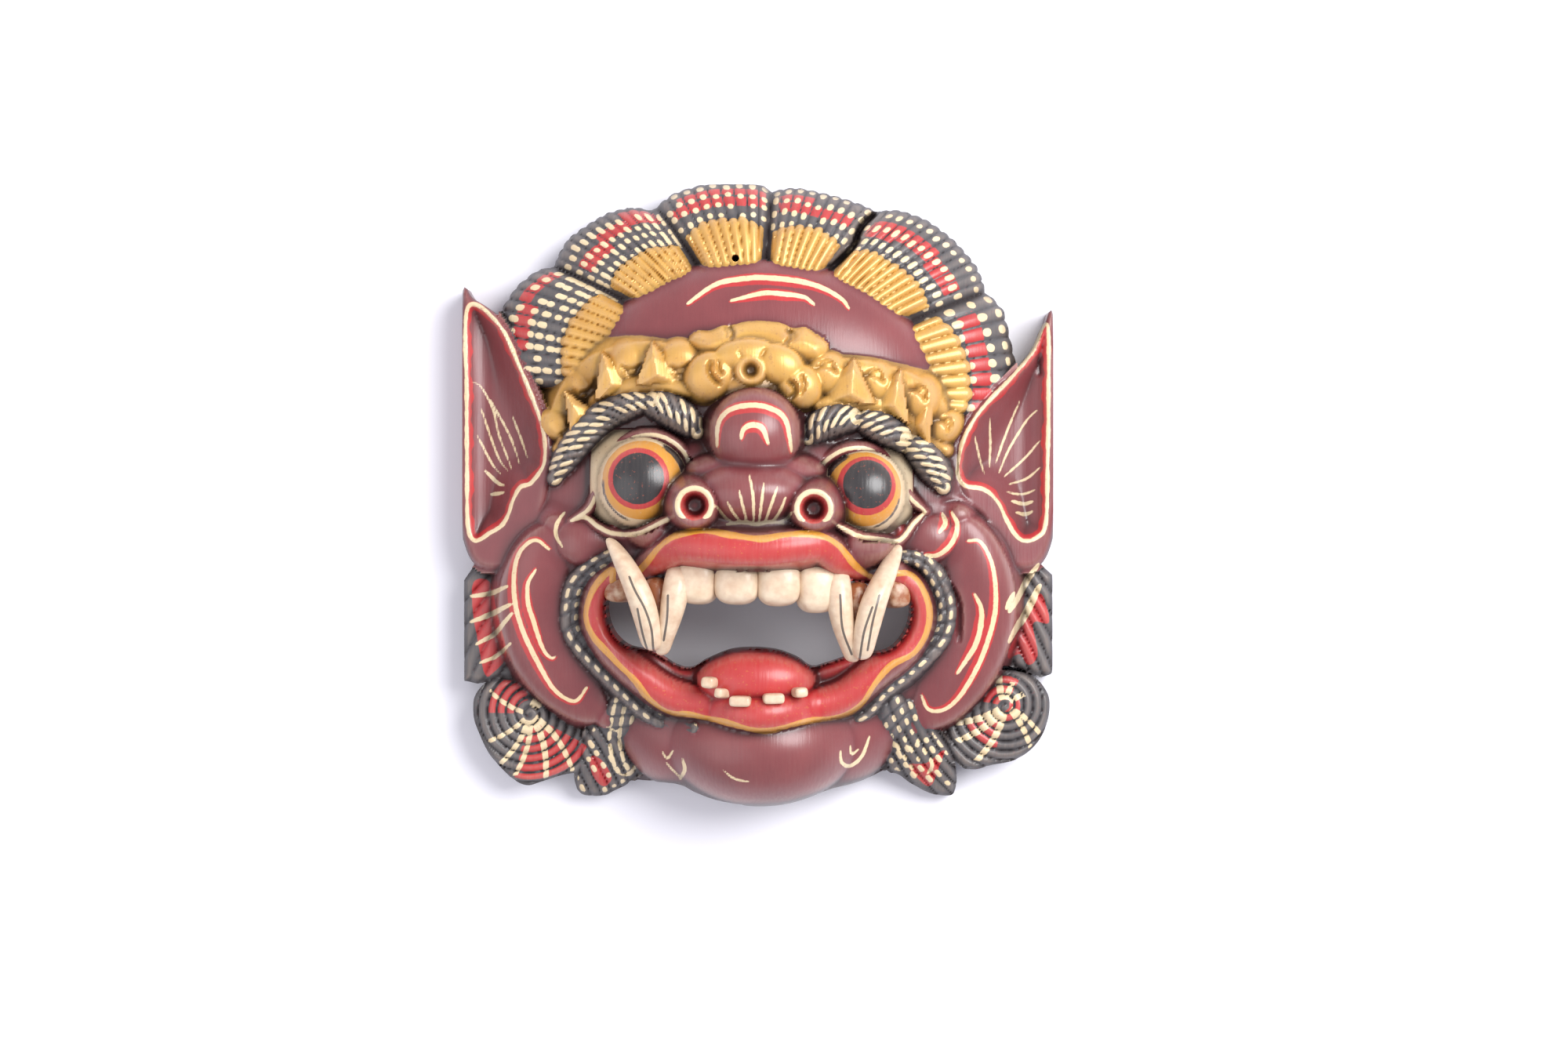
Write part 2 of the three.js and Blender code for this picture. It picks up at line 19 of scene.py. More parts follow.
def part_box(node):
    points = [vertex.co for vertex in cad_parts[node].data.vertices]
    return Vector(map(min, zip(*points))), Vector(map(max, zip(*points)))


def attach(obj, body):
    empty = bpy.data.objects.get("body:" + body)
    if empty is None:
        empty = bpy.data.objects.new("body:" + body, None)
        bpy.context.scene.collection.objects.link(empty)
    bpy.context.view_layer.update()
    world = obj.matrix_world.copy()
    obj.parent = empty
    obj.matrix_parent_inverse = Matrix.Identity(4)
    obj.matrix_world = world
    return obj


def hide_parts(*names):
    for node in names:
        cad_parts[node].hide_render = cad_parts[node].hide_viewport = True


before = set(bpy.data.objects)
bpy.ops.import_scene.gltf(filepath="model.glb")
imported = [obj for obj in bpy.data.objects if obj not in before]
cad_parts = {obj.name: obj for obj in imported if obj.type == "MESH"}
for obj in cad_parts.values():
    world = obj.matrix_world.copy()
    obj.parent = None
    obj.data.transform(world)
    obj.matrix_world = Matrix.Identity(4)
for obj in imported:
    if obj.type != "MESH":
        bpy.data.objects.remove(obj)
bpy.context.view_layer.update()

MM = 0.001
NODE = "mask"
BODY = "root"
FAR = 50.0

Point = tuple[float, float]
Array = np.ndarray
log = logging.getLogger("mask")


class Coat(Enum):
    """The paints, in the order in which they were laid on the maroon ground."""

    HAIR = "hair"
    GOLD = "gold"
    IVORY = "ivory"
    YELLOW = "yellow"
    RED = "red"
    INK = "ink"
    CREAM = "cream"


class Side(Enum):
    """A side of the face, as the viewer sees it."""

    LEFT = -1
    RIGHT = 1


# ---- Measuring ----------------------------------------------------------------------------


def smooth_max(a: Array, b: Array, soft: float) -> Array:
    """Joins two heights with a small fillet.

    Args:
        a: One height.
        b: The other height.
        soft: Height difference over which they blend.

    Returns:
        The joined height.
    """
    if soft <= 0:
        return np.maximum(a, b)
    near = np.clip(1 - np.abs(a - b) / soft, 0, 1)
    return np.maximum(a, b) + near * near * soft / 4


def arch(value: Array) -> Array:
    """Height of a half circle of radius 1 at a distance, falling away steeply beyond it."""
    inside = np.sqrt(np.clip(1 - value * value, 0, None))
    return np.where(np.abs(value) < 1, inside, -3 * (np.abs(value) - 1))


def scattered(i: Array, j: Array, seed: float) -> Array:
    """A number in 0..1 for each cell of a pattern, the same each time.

    Args:
        i: The cell's column.
        j: The cell's row.
        seed: Which pattern.

    Returns:
        The numbers.
    """
    return np.modf(np.abs(np.sin(i * 12.9898 + j * 78.233 + seed * 3.7) * 43758.5453))[0]


def slab(along: Array, across: Array, half_long: Array, half_wide: Array) -> Array:
    """Signed distance to a round-ended dab, positive inside.

    Args:
        along: Distance from its middle along it.
        across: Distance from its middle across it.
        half_long: Half its length.
        half_wide: Half its width.

    Returns:
        The distance.
    """
    r = np.minimum(half_long, half_wide)
    a = np.clip(np.abs(along) - (half_long - r), 0, None)
    b = np.clip(np.abs(across) - (half_wide - r), 0, None)
    return r - np.hypot(a, b)


class Run:
    """A line drawn through a few points, which can be measured against."""

    def __init__(
        self,
        points: list[Point],
        closed: bool = False,
        smooth: bool = True,
        step: float = 1.0,
    ) -> None:
        """Draws the line.

        Args:
            points: The points it passes through.
            closed: Whether it returns to its start.
            smooth: Whether it bends smoothly between the points.
            step: Spacing of its samples.
        """
        self.closed = closed
        knots = np.array(points, float)
        if closed:
            knots = np.vstack([knots, knots[:1]])
        line = self._bent(knots) if smooth else knots
        lengths = np.r_[0, np.cumsum(np.hypot(*np.diff(line, axis=0).T))]
        self.length = float(lengths[-1])
        count = max(3, int(self.length / step) + 1)
        at = np.linspace(0, self.length, count)
        if not smooth:
            at = np.union1d(at, lengths)
        self.xy = np.column_stack([np.interp(at, lengths, line[:, k]) for k in (0, 1)])
        self.at = at / self.length

    def _bent(self, knots: Array) -> Array:
        """A Catmull-Rom line through the knots.

        Args:
            knots: The points that it passes through.

        Returns:
            The curve, one row for each point.
        """
        ends = (
            (knots[-2], knots[1])
            if self.closed
            else (2 * knots[0] - knots[1], 2 * knots[-1] - knots[-2])
        )
        p = np.vstack([ends[0], knots, ends[1]])
        t = np.linspace(0, 1, 13)[:-1, None]
        parts = []
        for i in range(1, len(p) - 2):
            a, b, c, d = p[i - 1 : i + 3]
            parts.append(
                0.5
                * (
                    2 * b
                    + (c - a) * t
                    + (2 * a - 5 * b + 4 * c - d) * t**2
                    + (3 * b - a - 3 * c + d) * t**3
                )
            )
        return np.vstack([*parts, p[-2:-1]])

    def measure(self, x: Array, y: Array) -> tuple[Array, Array]:
        """Distance to the line, and how far along it the nearest place is.

        Args:
            x: Places, across.
            y: Places, up.

        Returns:
            Distance with a sign, positive to the left of the line, and the share along it.
        """
        flat = np.column_stack([x.ravel(), y.ravel()])
        gap = np.empty(len(flat))
        along = np.empty(len(flat))
        for start in range(0, len(flat), 20000):
            part = slice(start, start + 20000)
            gap[part], along[part] = self._nearest(flat[part])
        return gap.reshape(x.shape), along.reshape(x.shape)

    def _nearest(self, places: Array) -> tuple[Array, Array]:
        """Signed distance and share along for a short list of places.

        Args:
            places: Places, one row each.

        Returns:
            Signed gap and share along.
        """
        line = self.xy
        far = (
            (places**2).sum(1)[:, None]
            - 2 * places @ line.T
            + (line**2).sum(1)[None, :]
        )
        best = far.argmin(1)
        result = np.full(len(places), np.inf)
        along = np.zeros(len(places))
        sign = np.ones(len(places))
        for shift in (-1, 0):
            i = best + shift
            if self.closed:
                i = i % (len(line) - 1)
            else:
                i = np.clip(i, 0, len(line) - 2)
            a, b = line[i], line[i + 1]
            ab = b - a
            t = ((places - a) * ab).sum(1) / np.maximum((ab**2).sum(1), 1e-9)
            t = np.clip(t, 0, 1)
            away = places - a - ab * t[:, None]
            distance = np.hypot(*away.T)
            side = np.sign(ab[:, 0] * away[:, 1] - ab[:, 1] * away[:, 0])
            better = distance < result
            result = np.where(better, distance, result)
            along = np.where(
                better, self.at[i] + (self.at[i + 1] - self.at[i]) * t, along
            )
            sign = np.where(better, side, sign)
        return result * np.where(sign == 0, 1, sign), along

    def inside(self, x: Array, y: Array) -> Array:
        """Signed distance to the closed line, positive inside it.

        Args:
            x: Places, across.
            y: Places, up.

        Returns:
            The distance.
        """
        gap, _ = self.measure(x, y)
        odd = np.zeros(x.shape, bool)
        line = self.xy if self.closed else np.vstack([self.xy, self.xy[:1]])
        for (x0, y0), (x1, y1) in zip(line[:-1], line[1:]):
            if y0 == y1:
                continue
            crosses = (y0 > y) != (y1 > y)
            odd ^= crosses & (x < (x1 - x0) * (y - y0) / (y1 - y0) + x0)
        return np.where(odd, np.abs(gap), -np.abs(gap))

    def box(self, margin: float) -> tuple[float, float, float, float]:
        """The line's box with a margin round it."""
        (x0, y0), (x1, y1) = self.xy.min(0) - margin, self.xy.max(0) + margin
        return x0, y0, x1, y1

@dataclass(frozen=True)
class Dome:
    """Part of an ellipsoid that bulges towards the viewer."""

    x: float
    y: float
    rx: float
    ry: float
    z: float
    rz: float
    turn: float = 0.0

    def reach(self, x: Array, y: Array) -> Array:
        """Distance from the middle as a share of the dome's plan, 1 at its edge.

        Args:
            x: Places across.
            y: Places up.

        Returns:
            One at its edge, less inside.
        """
        turn = radians(self.turn)
        dx, dy = x - self.x, y - self.y
        u = (dx * cos(turn) + dy * sin(turn)) / self.rx
        v = (-dx * sin(turn) + dy * cos(turn)) / self.ry
        return np.hypot(u, v)

    def height(self, x: Array, y: Array, fall: float = 1.5) -> Array:
        """Height of the dome, falling on below its centre outside its plan.

        Args:
            x: Places, across.
            y: Places, up.
            fall: Steepness outside the plan.

        Returns:
            The height.
        """
        q = self.reach(x, y)
        bulge = np.sqrt(np.clip(1 - q * q, 0, None))
        return self.z + self.rz * np.where(q < 1, bulge, -fall * (q - 1))

    def outside(self, x: Array, y: Array) -> Array:
        """About how far a place is outside the dome's plan, negative inside.

        Args:
            x: Places across.
            y: Places up.

        Returns:
            Distance past its edge.
        """
        q = self.reach(x, y)
        size = np.hypot(x - self.x, y - self.y)
        return size - size / np.maximum(q, 1e-6)

    def box(self, margin: float) -> tuple[float, float, float, float]:
        """The dome's box with a margin round it."""
        r = max(self.rx, self.ry) + margin
        return self.x - r, self.y - r, self.x + r, self.y + r


@dataclass
class Carving:
    """The block as it is carved: heights, paints and outline over a sheet of places."""

    x: Array
    y: Array
    z: Array
    back: Array
    outline: Array
    coats: dict[Coat, Array]
    pitch: float

    @classmethod
    def blank(cls, half_width: float, half_height: float, pitch: float) -> "Carving":
        """A flat block.

        Args:
            half_width: Half its width.
            half_height: Half its height.
            pitch: Spacing of the places.

        Returns:
            The uncarved sheet.
        """
        xs = np.arange(-half_width - 4 * pitch, half_width + 5 * pitch, pitch)
        ys = np.arange(-half_height - 4 * pitch, half_height + 5 * pitch, pitch)
        x, y = np.meshgrid(xs, ys)
        coats = {coat: np.full(x.shape, -FAR) for coat in Coat}
        return cls(
            x, y, np.full(x.shape, -FAR), x * 0, np.full(x.shape, -FAR), coats, pitch
        )

    def uncarved(self) -> "Carving":
        """A fresh block over the same places.

        Returns:
            The fresh block.
        """
        flat = np.full(self.x.shape, -FAR)
        coats = {coat: flat.copy() for coat in Coat}
        return Carving(self.x, self.y, flat, self.x * 0, flat.copy(), coats, self.pitch)

    def near(self, box: tuple[float, float, float, float]) -> "Carving":
        """The part of the carving inside a box, sharing its arrays.

        Args:
            box: Lowest x and y, highest x and y.

        Returns:
            The part.
        """
        xs, ys = self.x[0], self.y[:, 0]
        i0, i1 = np.searchsorted(xs, [box[0], box[2]])
        j0, j1 = np.searchsorted(ys, [box[1], box[3]])
        cut = (slice(j0, max(j1, j0 + 2)), slice(i0, max(i1, i0 + 2)))
        return Carving(
            self.x[cut],
            self.y[cut],
            self.z[cut],
            self.back[cut],
            self.outline[cut],
            {c: a[cut] for c, a in self.coats.items()},
            self.pitch,
        )

    def add(self, form: Array, coat: Coat | None = None, soft: float = 2.0) -> None:
        """Stands a form on the carving, in one paint.

        Args:
            form: Its height.
            coat: Its paint, or None for the maroon ground.
            soft: Fillet where it meets what is there.
        """
        over = form - self.z
        for name, layer in self.coats.items():
            layer[:] = (
                np.maximum(layer, over) if name is coat else np.minimum(layer, -over)
            )
        self.z[:] = smooth_max(self.z, form, soft)

    def cut(self, form: Array, soft: float = 1.0) -> None:
        """Cuts the carving down to a height.

        Args:
            form: The height to cut to.
            soft: Rounding of the cut's edge.
        """
        self.z[:] = -smooth_max(-self.z, -form, soft)

    def brush(self, coat: Coat, inside: Array) -> None:
        """Paints where a signed distance is positive."""
        self.coats[coat][:] = np.maximum(self.coats[coat], inside)

    def wipe(self, coat: Coat, inside: Array) -> None:
        """Keeps a paint off where a signed distance is positive."""
        self.coats[coat][:] = np.minimum(self.coats[coat], -inside)

    def keep(self, inside: Array) -> None:
        """Adds a region to the mask's outline."""
        self.outline[:] = np.maximum(self.outline, inside)

    def patch(self, coat: Coat, points: list[Point], over: float = 0.0) -> None:
        """Paints a closed patch.

        Args:
            coat: Its paint.
            points: Its outline.
            over: How far the paint runs over the outline.
        """
        run = Run(points, closed=True, step=0.8)
        part = self.near(run.box(3 + over))
        part.brush(coat, run.inside(part.x, part.y) + over)

    def groove(
        self, points: list[Point], width: float, depth: float, soft: float = 0.6
    ) -> None:
        """Cuts a groove along a line.

        Args:
            points: The points that it passes through.
            width: Its width at the surface.
            depth: Its depth.
            soft: Rounding of its lips.
        """
        run = Run(points, step=0.6)
        part = self.near(run.box(width + 2))
        gap, along = run.measure(part.x, part.y)
        ends = np.clip(np.minimum(along, 1 - along) / 0.2, 0, 1) ** 0.5
        cut = depth * ends * np.clip(1 - (np.abs(gap) / (width / 2 + soft)) ** 2, 0, 1)
        part.z[:] -= cut

    def stroke(
        self,
        coat: Coat,
        points: list[Point],
        width: float,
        taper: float = 0.35,
        glow: float = 0.0,
    ) -> None:
        """A brush stroke, thin at its ends.

        Args:
            coat: Its paint.
            points: The points that it passes through.
            width: Its greatest width.
            taper: Share of it over which each end thins.
            glow: Width of the red that shows beside it.
        """
        run = Run(points, step=0.6)
        part = self.near(run.box(width + glow + 1))
        gap, along = run.measure(part.x, part.y)
        ends = np.clip(np.minimum(along, 1 - along) / max(taper, 1e-3), 0, 1)
        half = width / 2 * (0.45 + 0.55 * np.sqrt(ends))
        part.brush(coat, half - np.abs(gap))
        if glow > 0:
            part.brush(Coat.RED, half + glow * ends - np.abs(gap + glow * 0.4))


# ---- Driving sizes ------------------------------------------------------------------------

HALF_WIDTH = 133.0
HALF_HEIGHT = 140.0
WALL_MIN = 5.0

FACE = Dome(0, -12, 118, 127, 0, 60)
MUZZLE = Dome(0, -18, 64, 38, 28, 58)
FOREHEAD = Dome(3, 48, 80, 59, 30, 36, turn=-5)
CHIN = Dome(2, -112, 41, 28, 26, 38)
HOLLOW = Dome(0, -8, 95.5, 104.5, 0, 45)
MUZZLE_HOLLOW = Dome(0, -26, 46, 30, 0, 64)


def skin(x: Array, y: Array) -> Array:
    """Height of the bare face, before anything stands on it.

    Args:
        x: Places across.
        y: Places up.

    Returns:
        Height of the bare domes.
    """
    height = np.full(np.shape(x), 12.0)
    for dome in (FACE, MUZZLE, FOREHEAD, CHIN):
        height = np.maximum(height, dome.height(x, y))
    return height


def skin_at(place: Point) -> float:
    """Height of the bare face over one point."""
    return float(skin(np.array([place[0]]), np.array([place[1]]))[0])


@dataclass
class Strand:
    """A rounded ridge along a run."""

    points: list[Point]
    width: float
    height: float
    lift: float = 3.0
    blunt: float = 0.35
    closed: bool = False

    def form(self, part: Carving, run: Run) -> tuple[Array, Array, Array]:
        """Its height over a part of the carving.

        Args:
            part: The part.
            run: The strand's own line.

        Returns:
            The height, the distance from its line and the share along it.
        """
        gap, along = run.measure(part.x, part.y)
        knots = Run(self.points, closed=self.closed, step=4)
        base = skin(knots.xy[:, 0], knots.xy[:, 1])
        base = np.interp(along, knots.at, base)
        ends = np.sin(pi * np.clip(along, 0.02, 0.98)) ** self.blunt
        if self.closed:
            ends = np.ones_like(along)
        half = self.width / 2 * ends
        return (
            base + self.lift + self.height / 2 * ends * arch(gap / half),
            gap,
            along,
        )

    def carve(
        self, carving: Carving, coat: Coat | None = None, soft: float = 2.0
    ) -> None:
        """Stands it on the carving.

        Args:
            carving: The mask.
            coat: Its paint.
            soft: Its fillet.
        """
        run = Run(self.points, closed=self.closed)
        part = carving.near(run.box(self.width + 3))
        part.add(self.form(part, run)[0], coat, soft)


# ---- The crest ----------------------------------------------------------------------------


@dataclass(frozen=True)
class Lock:
    """One fluted lock of the crest, between two angles about the crest's centre.

    Each row of dabs is (share of the way out, length); each red bar is (first flute, last
    flute, lower share, upper share). Gold is the depth of the gilt tip.
    """

    start: float
    end: float
    flutes: int
    rows: tuple[tuple[float, float], ...]
    red: tuple[tuple[float, float, float, float], ...]
    gold: float


@dataclass
class Crest:
    """The fan of fluted locks over the forehead, with their gilt tips inside."""

    x: float = 0.5
    y: float = 42.4
    inner: float = 56
    high: float = 43
    low: float = 15
    crown: float = 4.2
    flute: float = 1.9
    scallop: float = 1.2
    twist: float = 5.0
    nail: tuple[float, float, float] = (-9.7, 104.5, 1.7)
    reach: list[Point] = field(
        default_factory=lambda: [
            (-12, 114), (-4, 115.5), (6, 117), (13.5, 116.4), (20.3, 117.3), (25.6, 113.7),
            (31.6, 115.1), (40, 113.5), (47.4, 110.8), (53.5, 106.5), (58.8, 100.4), (65, 99),
            (72.7, 97.7), (80, 97.2), (86.4, 94.9), (90, 97.6), (94.8, 98.5), (103, 100.4),
            (112.3, 100.8), (119.6, 98.8), (123.5, 104.5), (129, 108.6), (139.8, 112.7),
            (146.6, 111), (149.7, 116), (154.7, 120.6), (160.6, 123), (172, 119), (180, 116),
        ]
    )  # fmt: skip
    locks: tuple[Lock, ...] = (
        Lock(177, 147, 11, ((0.44, 6), (0.53, 4), (0.61, 3), (0.7, 3), (0.77, 3), (0.89, 3)),
            ((3, 7, 0.77, 0.89), (7, 10.4, 0.84, 0.93)), 12),
        Lock(147, 118, 12, ((0.49, 4), (0.57, 3), (0.66, 2.6), (0.76, 2.6), (0.88, 3)),
            ((1, 5, 0.67, 0.8), (4.5, 8, 0.76, 0.87), (8, 11.3, 0.8, 0.96)), 12),
        Lock(118, 86.5, 9, ((0.62, 2.2), (0.73, 2.0), (0.84, 2.0), (0.95, 2.2)),
            ((0.6, 8.6, 0.72, 0.83), (1.5, 8.6, 0.85, 0.92)), 16),
        Lock(86.5, 58, 9, ((0.55, 2.4), (0.69, 2.4), (0.83, 2.2), (0.96, 2.0)),
            ((0.8, 4, 0.84, 0.91), (0.8, 8, 0.7, 0.82)), 14),
        Lock(58, 25.5, 13, ((0.5, 2.6), (0.6, 3), (0.76, 2.8), (0.92, 2.2)),
            ((0.8, 4, 0.66, 0.85), (4, 8, 0.7, 0.84), (8, 12, 0.66, 0.8)), 13),
        Lock(25.5, -8, 9, ((0.47, 3.0), (0.64, 3.4), (0.82, 3.2), (0.95, 2)),
            ((0.9, 8.4, 0.65, 0.8),), 12),
    )  # fmt: skip

    def carve(self, carving: Carving) -> None:
        """Carves and paints the fan.

        Args:
            carving: The carving.
        """
        dx, dy = carving.x - self.x, carving.y - self.y
        r = np.hypot(dx, dy)
        angle = np.degrees(np.arctan2(dy, dx))
        angle = np.where(angle < -90, angle + 360, angle)
        angles, reaches = np.array(self.reach).T
        reach = np.interp(angle, angles, reaches)
        deep = reach - self.inner
        share = (r - self.inner) / deep
        drift = self.twist * np.sin(np.radians(2 * angle)) * np.clip(1 - share, 0, 1)
        drift = np.where(angle < 45, drift * np.clip(angle / 45, 0, 1), drift)
        turned = angle - drift
        form = np.full(r.shape, -FAR)
        rim, marks, bars, gilt = (form.copy() for _ in range(4))
        out = 2 / pi * np.arcsin(np.clip(share, 0, 1) ** (1 / 0.9))
        slope = self.high + (self.low - self.high) * out**1.4
        slope -= np.clip(share - 1, 0, None) * 60
        beyond = FOREHEAD.outside(carving.x, carving.y)
        for number, lock in enumerate(self.locks):
            span = lock.start - lock.end
            across = (lock.start - turned) / span
            on = (across >= 0) & (across < 1)
            wide = radians(span / lock.flutes) * r
            step = across * lock.flutes
            index = np.clip(np.floor(step), 0, lock.flutes - 1)
            within = np.abs(step - index - 0.5) * wide
            side = np.clip(np.minimum(across, 1 - across), 0, 1) * lock.flutes * wide
            calm = np.clip(side / 3.5, 0, 1)
            wave = np.sqrt(np.clip(1 - (2 * within / wide) ** 2, 0, 1)) * calm
            tip = lock.gold * (0.45 + 0.55 * np.sqrt(np.clip(side / 14, 0, 1)))
            tip += 1.6 * wave + 1.5 * scattered(index, index * 0 + number, 4) - 1.5
            gold = np.minimum(tip - beyond, side - 2.2)
            height = slope + self.crown * (np.sqrt(np.clip(side / 9, 0, 1)) - 1)
            height += self.flute * (wave - 0.4) * np.clip(out, 0, 1) ** 0.3
            height += 1.6 * np.clip(gold / 1.5, 0, 1) + 0.7 * wave * (gold > 0)
            form = np.where(on, height, form)
            edge = reach + self.scallop * (wave - 0.5) - r
            rim = np.where(on, edge, rim)
            gilt = np.where(on, gold, gilt)
            for row, (at, long) in enumerate(lock.rows):
                seed = 10 * number + row
                shift = 1.6 * (scattered(index, index * 0 + row, number) - 0.5)
                size = long * (0.8 + 0.45 * scattered(index, index * 0 + row, number + 20))
                shown = scattered(index, index * 0 + seed, 7) > 0.07
                dab = slab((share - at) * deep - shift, within, size * 0.66, wide * 0.27)
                dab = np.where(shown, np.minimum(dab, side - 1.2), -FAR)
                marks = np.where(on, np.maximum(marks, dab), marks)
            for first, last, low, high in lock.red:
                bar = np.minimum(np.minimum(share - low, high - share) * deep,
                    0.42 * wide - within)
                bar = np.minimum(bar, np.minimum(step - first, last - step) * wide)
                bars = np.where(on, np.maximum(bars, bar), bars)
        worn = 1.2 * scattered(np.floor(carving.x / 3), np.floor(carving.y / 3), 2)
        carving.add(np.where(rim > -3, form, -FAR), Coat.HAIR, 0.0)
        carving.keep(rim)
        hair = carving.coats[Coat.HAIR]
        carving.brush(Coat.RED, np.minimum(bars, hair))
        carving.brush(Coat.CREAM, np.minimum(marks, np.minimum(hair, rim - worn)))
        carving.brush(Coat.GOLD, np.minimum(gilt, hair))
        for coat in (Coat.CREAM, Coat.RED):
            carving.wipe(coat, gilt)
        nail = np.hypot(carving.x - self.nail[0], carving.y - self.nail[1])
        carving.outline[:] = np.minimum(carving.outline, nail - self.nail[2])


# ---- Ears, side locks, curls and tufts ----------------------------------------------------


@dataclass
class Ear:
    """A pointed ear: a flat-sided leaf with a raised rim and a scooped bowl."""

    leaf: list[Point]
    bowl: list[Point]
    depth: float = 10.0

    def carve(self, carving: Carving) -> None:
        """Carves the ear and paints its rim.

        Args:
            carving: The carving.
        """
        leaf = Run(self.leaf, closed=True)
        part = carving.near(leaf.box(3))
        edge = leaf.inside(part.x, part.y)
        height = 22 + (HALF_WIDTH - np.abs(part.x)) * 0.42
        lip = 3 * (1 - np.clip(edge / 3, 0, 1)) ** 2
        part.add(np.where(edge > -2, height - lip, -FAR), None, 1.0)
        part.keep(np.minimum(edge, HALF_WIDTH - np.abs(part.x)))
        inner = Run(self.bowl, closed=True).inside(part.x, part.y)
        scoop = height + 0.6 - self.depth * (1 - (1 - np.clip(inner / 16, 0, 1)) ** 2.2)
        part.cut(np.where(inner > 0, scoop, FAR * 3), 1.0)
        ragged = 0.5 * np.sin(part.y * 0.31) + 0.3 * np.sin(part.y * 0.9)
        part.brush(Coat.CREAM, 0.85 + 0.25 * ragged - np.abs(inner))
        part.brush(Coat.RED, np.minimum(1.5 + ragged - np.abs(inner - 1.0), edge))


@dataclass(frozen=True)
class Weave:
    """How the ridges and dabs of a lock of hair lie.

    Ridges are pitch apart, run along turn degrees, bow sideways by bow, and carry dabs of
    size (length, width) every row millimetres, where scattered chance allows.
    """

    turn: float
    pitch: float
    depth: float
    row: float
    size: Point
    chance: float
    bow: float = 0.0

    def over(self, x: Array, y: Array, seed: float) -> tuple[Array, Array]:
        """The ridges and the dabs over some places.

        Args:
            x: Places across, from the lock's middle.
            y: Places up, from the lock's middle.
            seed: Which scatter.

        Returns:
            Height of the ridges and signed distance to the dabs.
        """
        a = radians(self.turn)
        along = x * cos(a) + y * sin(a)
        across = -x * sin(a) + y * cos(a) + self.bow * along * along
        step = across / self.pitch
        i, j = np.floor(step), np.floor(along / self.row)
        within = np.abs(step - i - 0.5)
        ridge = self.depth * (np.sqrt(np.clip(1 - (2 * within) ** 2, 0, 1)) - 0.5)
        shift = (scattered(i, j, seed) - 0.5) * self.row * 0.25
        centre = (j + 0.5) * self.row + shift
        size = self.size[0] / 2 * (0.7 + 0.6 * scattered(i, j, seed + 1))
        dab = slab(along - centre, within * self.pitch, size, self.size[1] / 2 + 0 * size)
        return ridge, np.where(scattered(i, j, seed + 2) < self.chance, dab, -FAR)


@dataclass
class HairBoard:
    """A flat-backed lock of hair at the mask's edge, ridged and dabbed."""

    outline: list[Point]
    middle: Point
    weave: Weave
    height: float = 19.0
    rise: float = 0.0
    crisp: bool = False
    seed: float = 1.0

    def carve(self, carving: Carving) -> None:
        """Carves and paints the lock.

        Args:
            carving: The carving.
        """
        board = Run(self.outline, closed=True, smooth=not self.crisp)
        part = carving.near(board.box(3))
        edge = board.inside(part.x, part.y)
        x, y = part.x - self.middle[0], part.y - self.middle[1]
        ridge, dabs = self.weave.over(x, y, self.seed)
        height = self.height + np.clip(y, -20, None) * self.rise + ridge
        height += 2.5 * np.clip(edge / 12, 0, 1) - 2.6 * (1 - np.clip(edge / 3.5, 0, 1)) ** 2
        part.add(np.where(edge > -2, height, -FAR), Coat.HAIR, 0.0)
        part.keep(np.minimum(edge, HALF_WIDTH - np.abs(part.x)))
        on = np.minimum(part.coats[Coat.HAIR], edge - 1.5)
        part.brush(Coat.CREAM, np.minimum(dabs, on))


@dataclass
class Curl:
    """A spiral curl at a corner of the jaw."""

    side: Side
    outline: list[Point]
    x: float
    y: float
    dabs: list[tuple[Point, float]]
    wedges: list[tuple[float, float, float, float]]
    height: float = 18.0
    pitch: float = 4.3

    def carve(self, carving: Carving) -> None:
        """Carves the curl as a wound strand and paints its dabs.

        Args:
            carving: The carving.
        """
        board = Run(self.outline, closed=True)
        part = carving.near(board.box(3))
        edge = board.inside(part.x, part.y)
        dx, dy = part.x - self.x, part.y - self.y
        r = np.hypot(dx, dy)
        angle = np.arctan2(dy, dx)
        turn = r / self.pitch - self.side.value * angle / (2 * pi)
        wave = np.abs(np.sin(pi * turn))
        height = self.height + 6 * np.exp(-((r / 15) ** 2)) + 2.4 * np.sqrt(wave)
        height -= 2.6 * (1 - np.clip(edge / 4, 0, 1)) ** 2
        part.add(np.where(edge > -2, height, -FAR), Coat.HAIR, 0.0)
        part.keep(np.minimum(edge, HALF_WIDTH - np.abs(part.x)))
        on = np.minimum(part.coats[Coat.HAIR], edge - 1)
        ridge = (wave - 0.42) * self.pitch / 2
        degree = np.degrees(angle)
        for low, high, first, last in self.wedges:
            span = np.minimum(degree - first, last - degree) * np.radians(r)
            red = np.minimum(np.minimum(r - low, high - r), span)
            part.brush(Coat.RED, np.minimum(np.minimum(red, ridge), on))
        for (bearing, reach), width in self.dabs:
            lean = radians(bearing)
            along = dx * cos(lean) + dy * sin(lean)
            across = -dx * sin(lean) + dy * cos(lean) + 0.015 * along * along
            dab = np.minimum(width / 2 - np.abs(across), np.minimum(along - 3, reach - along))
            part.brush(Coat.CREAM, np.minimum(np.minimum(dab, ridge + 0.35), on))


# ---- The face -----------------------------------------------------------------------------


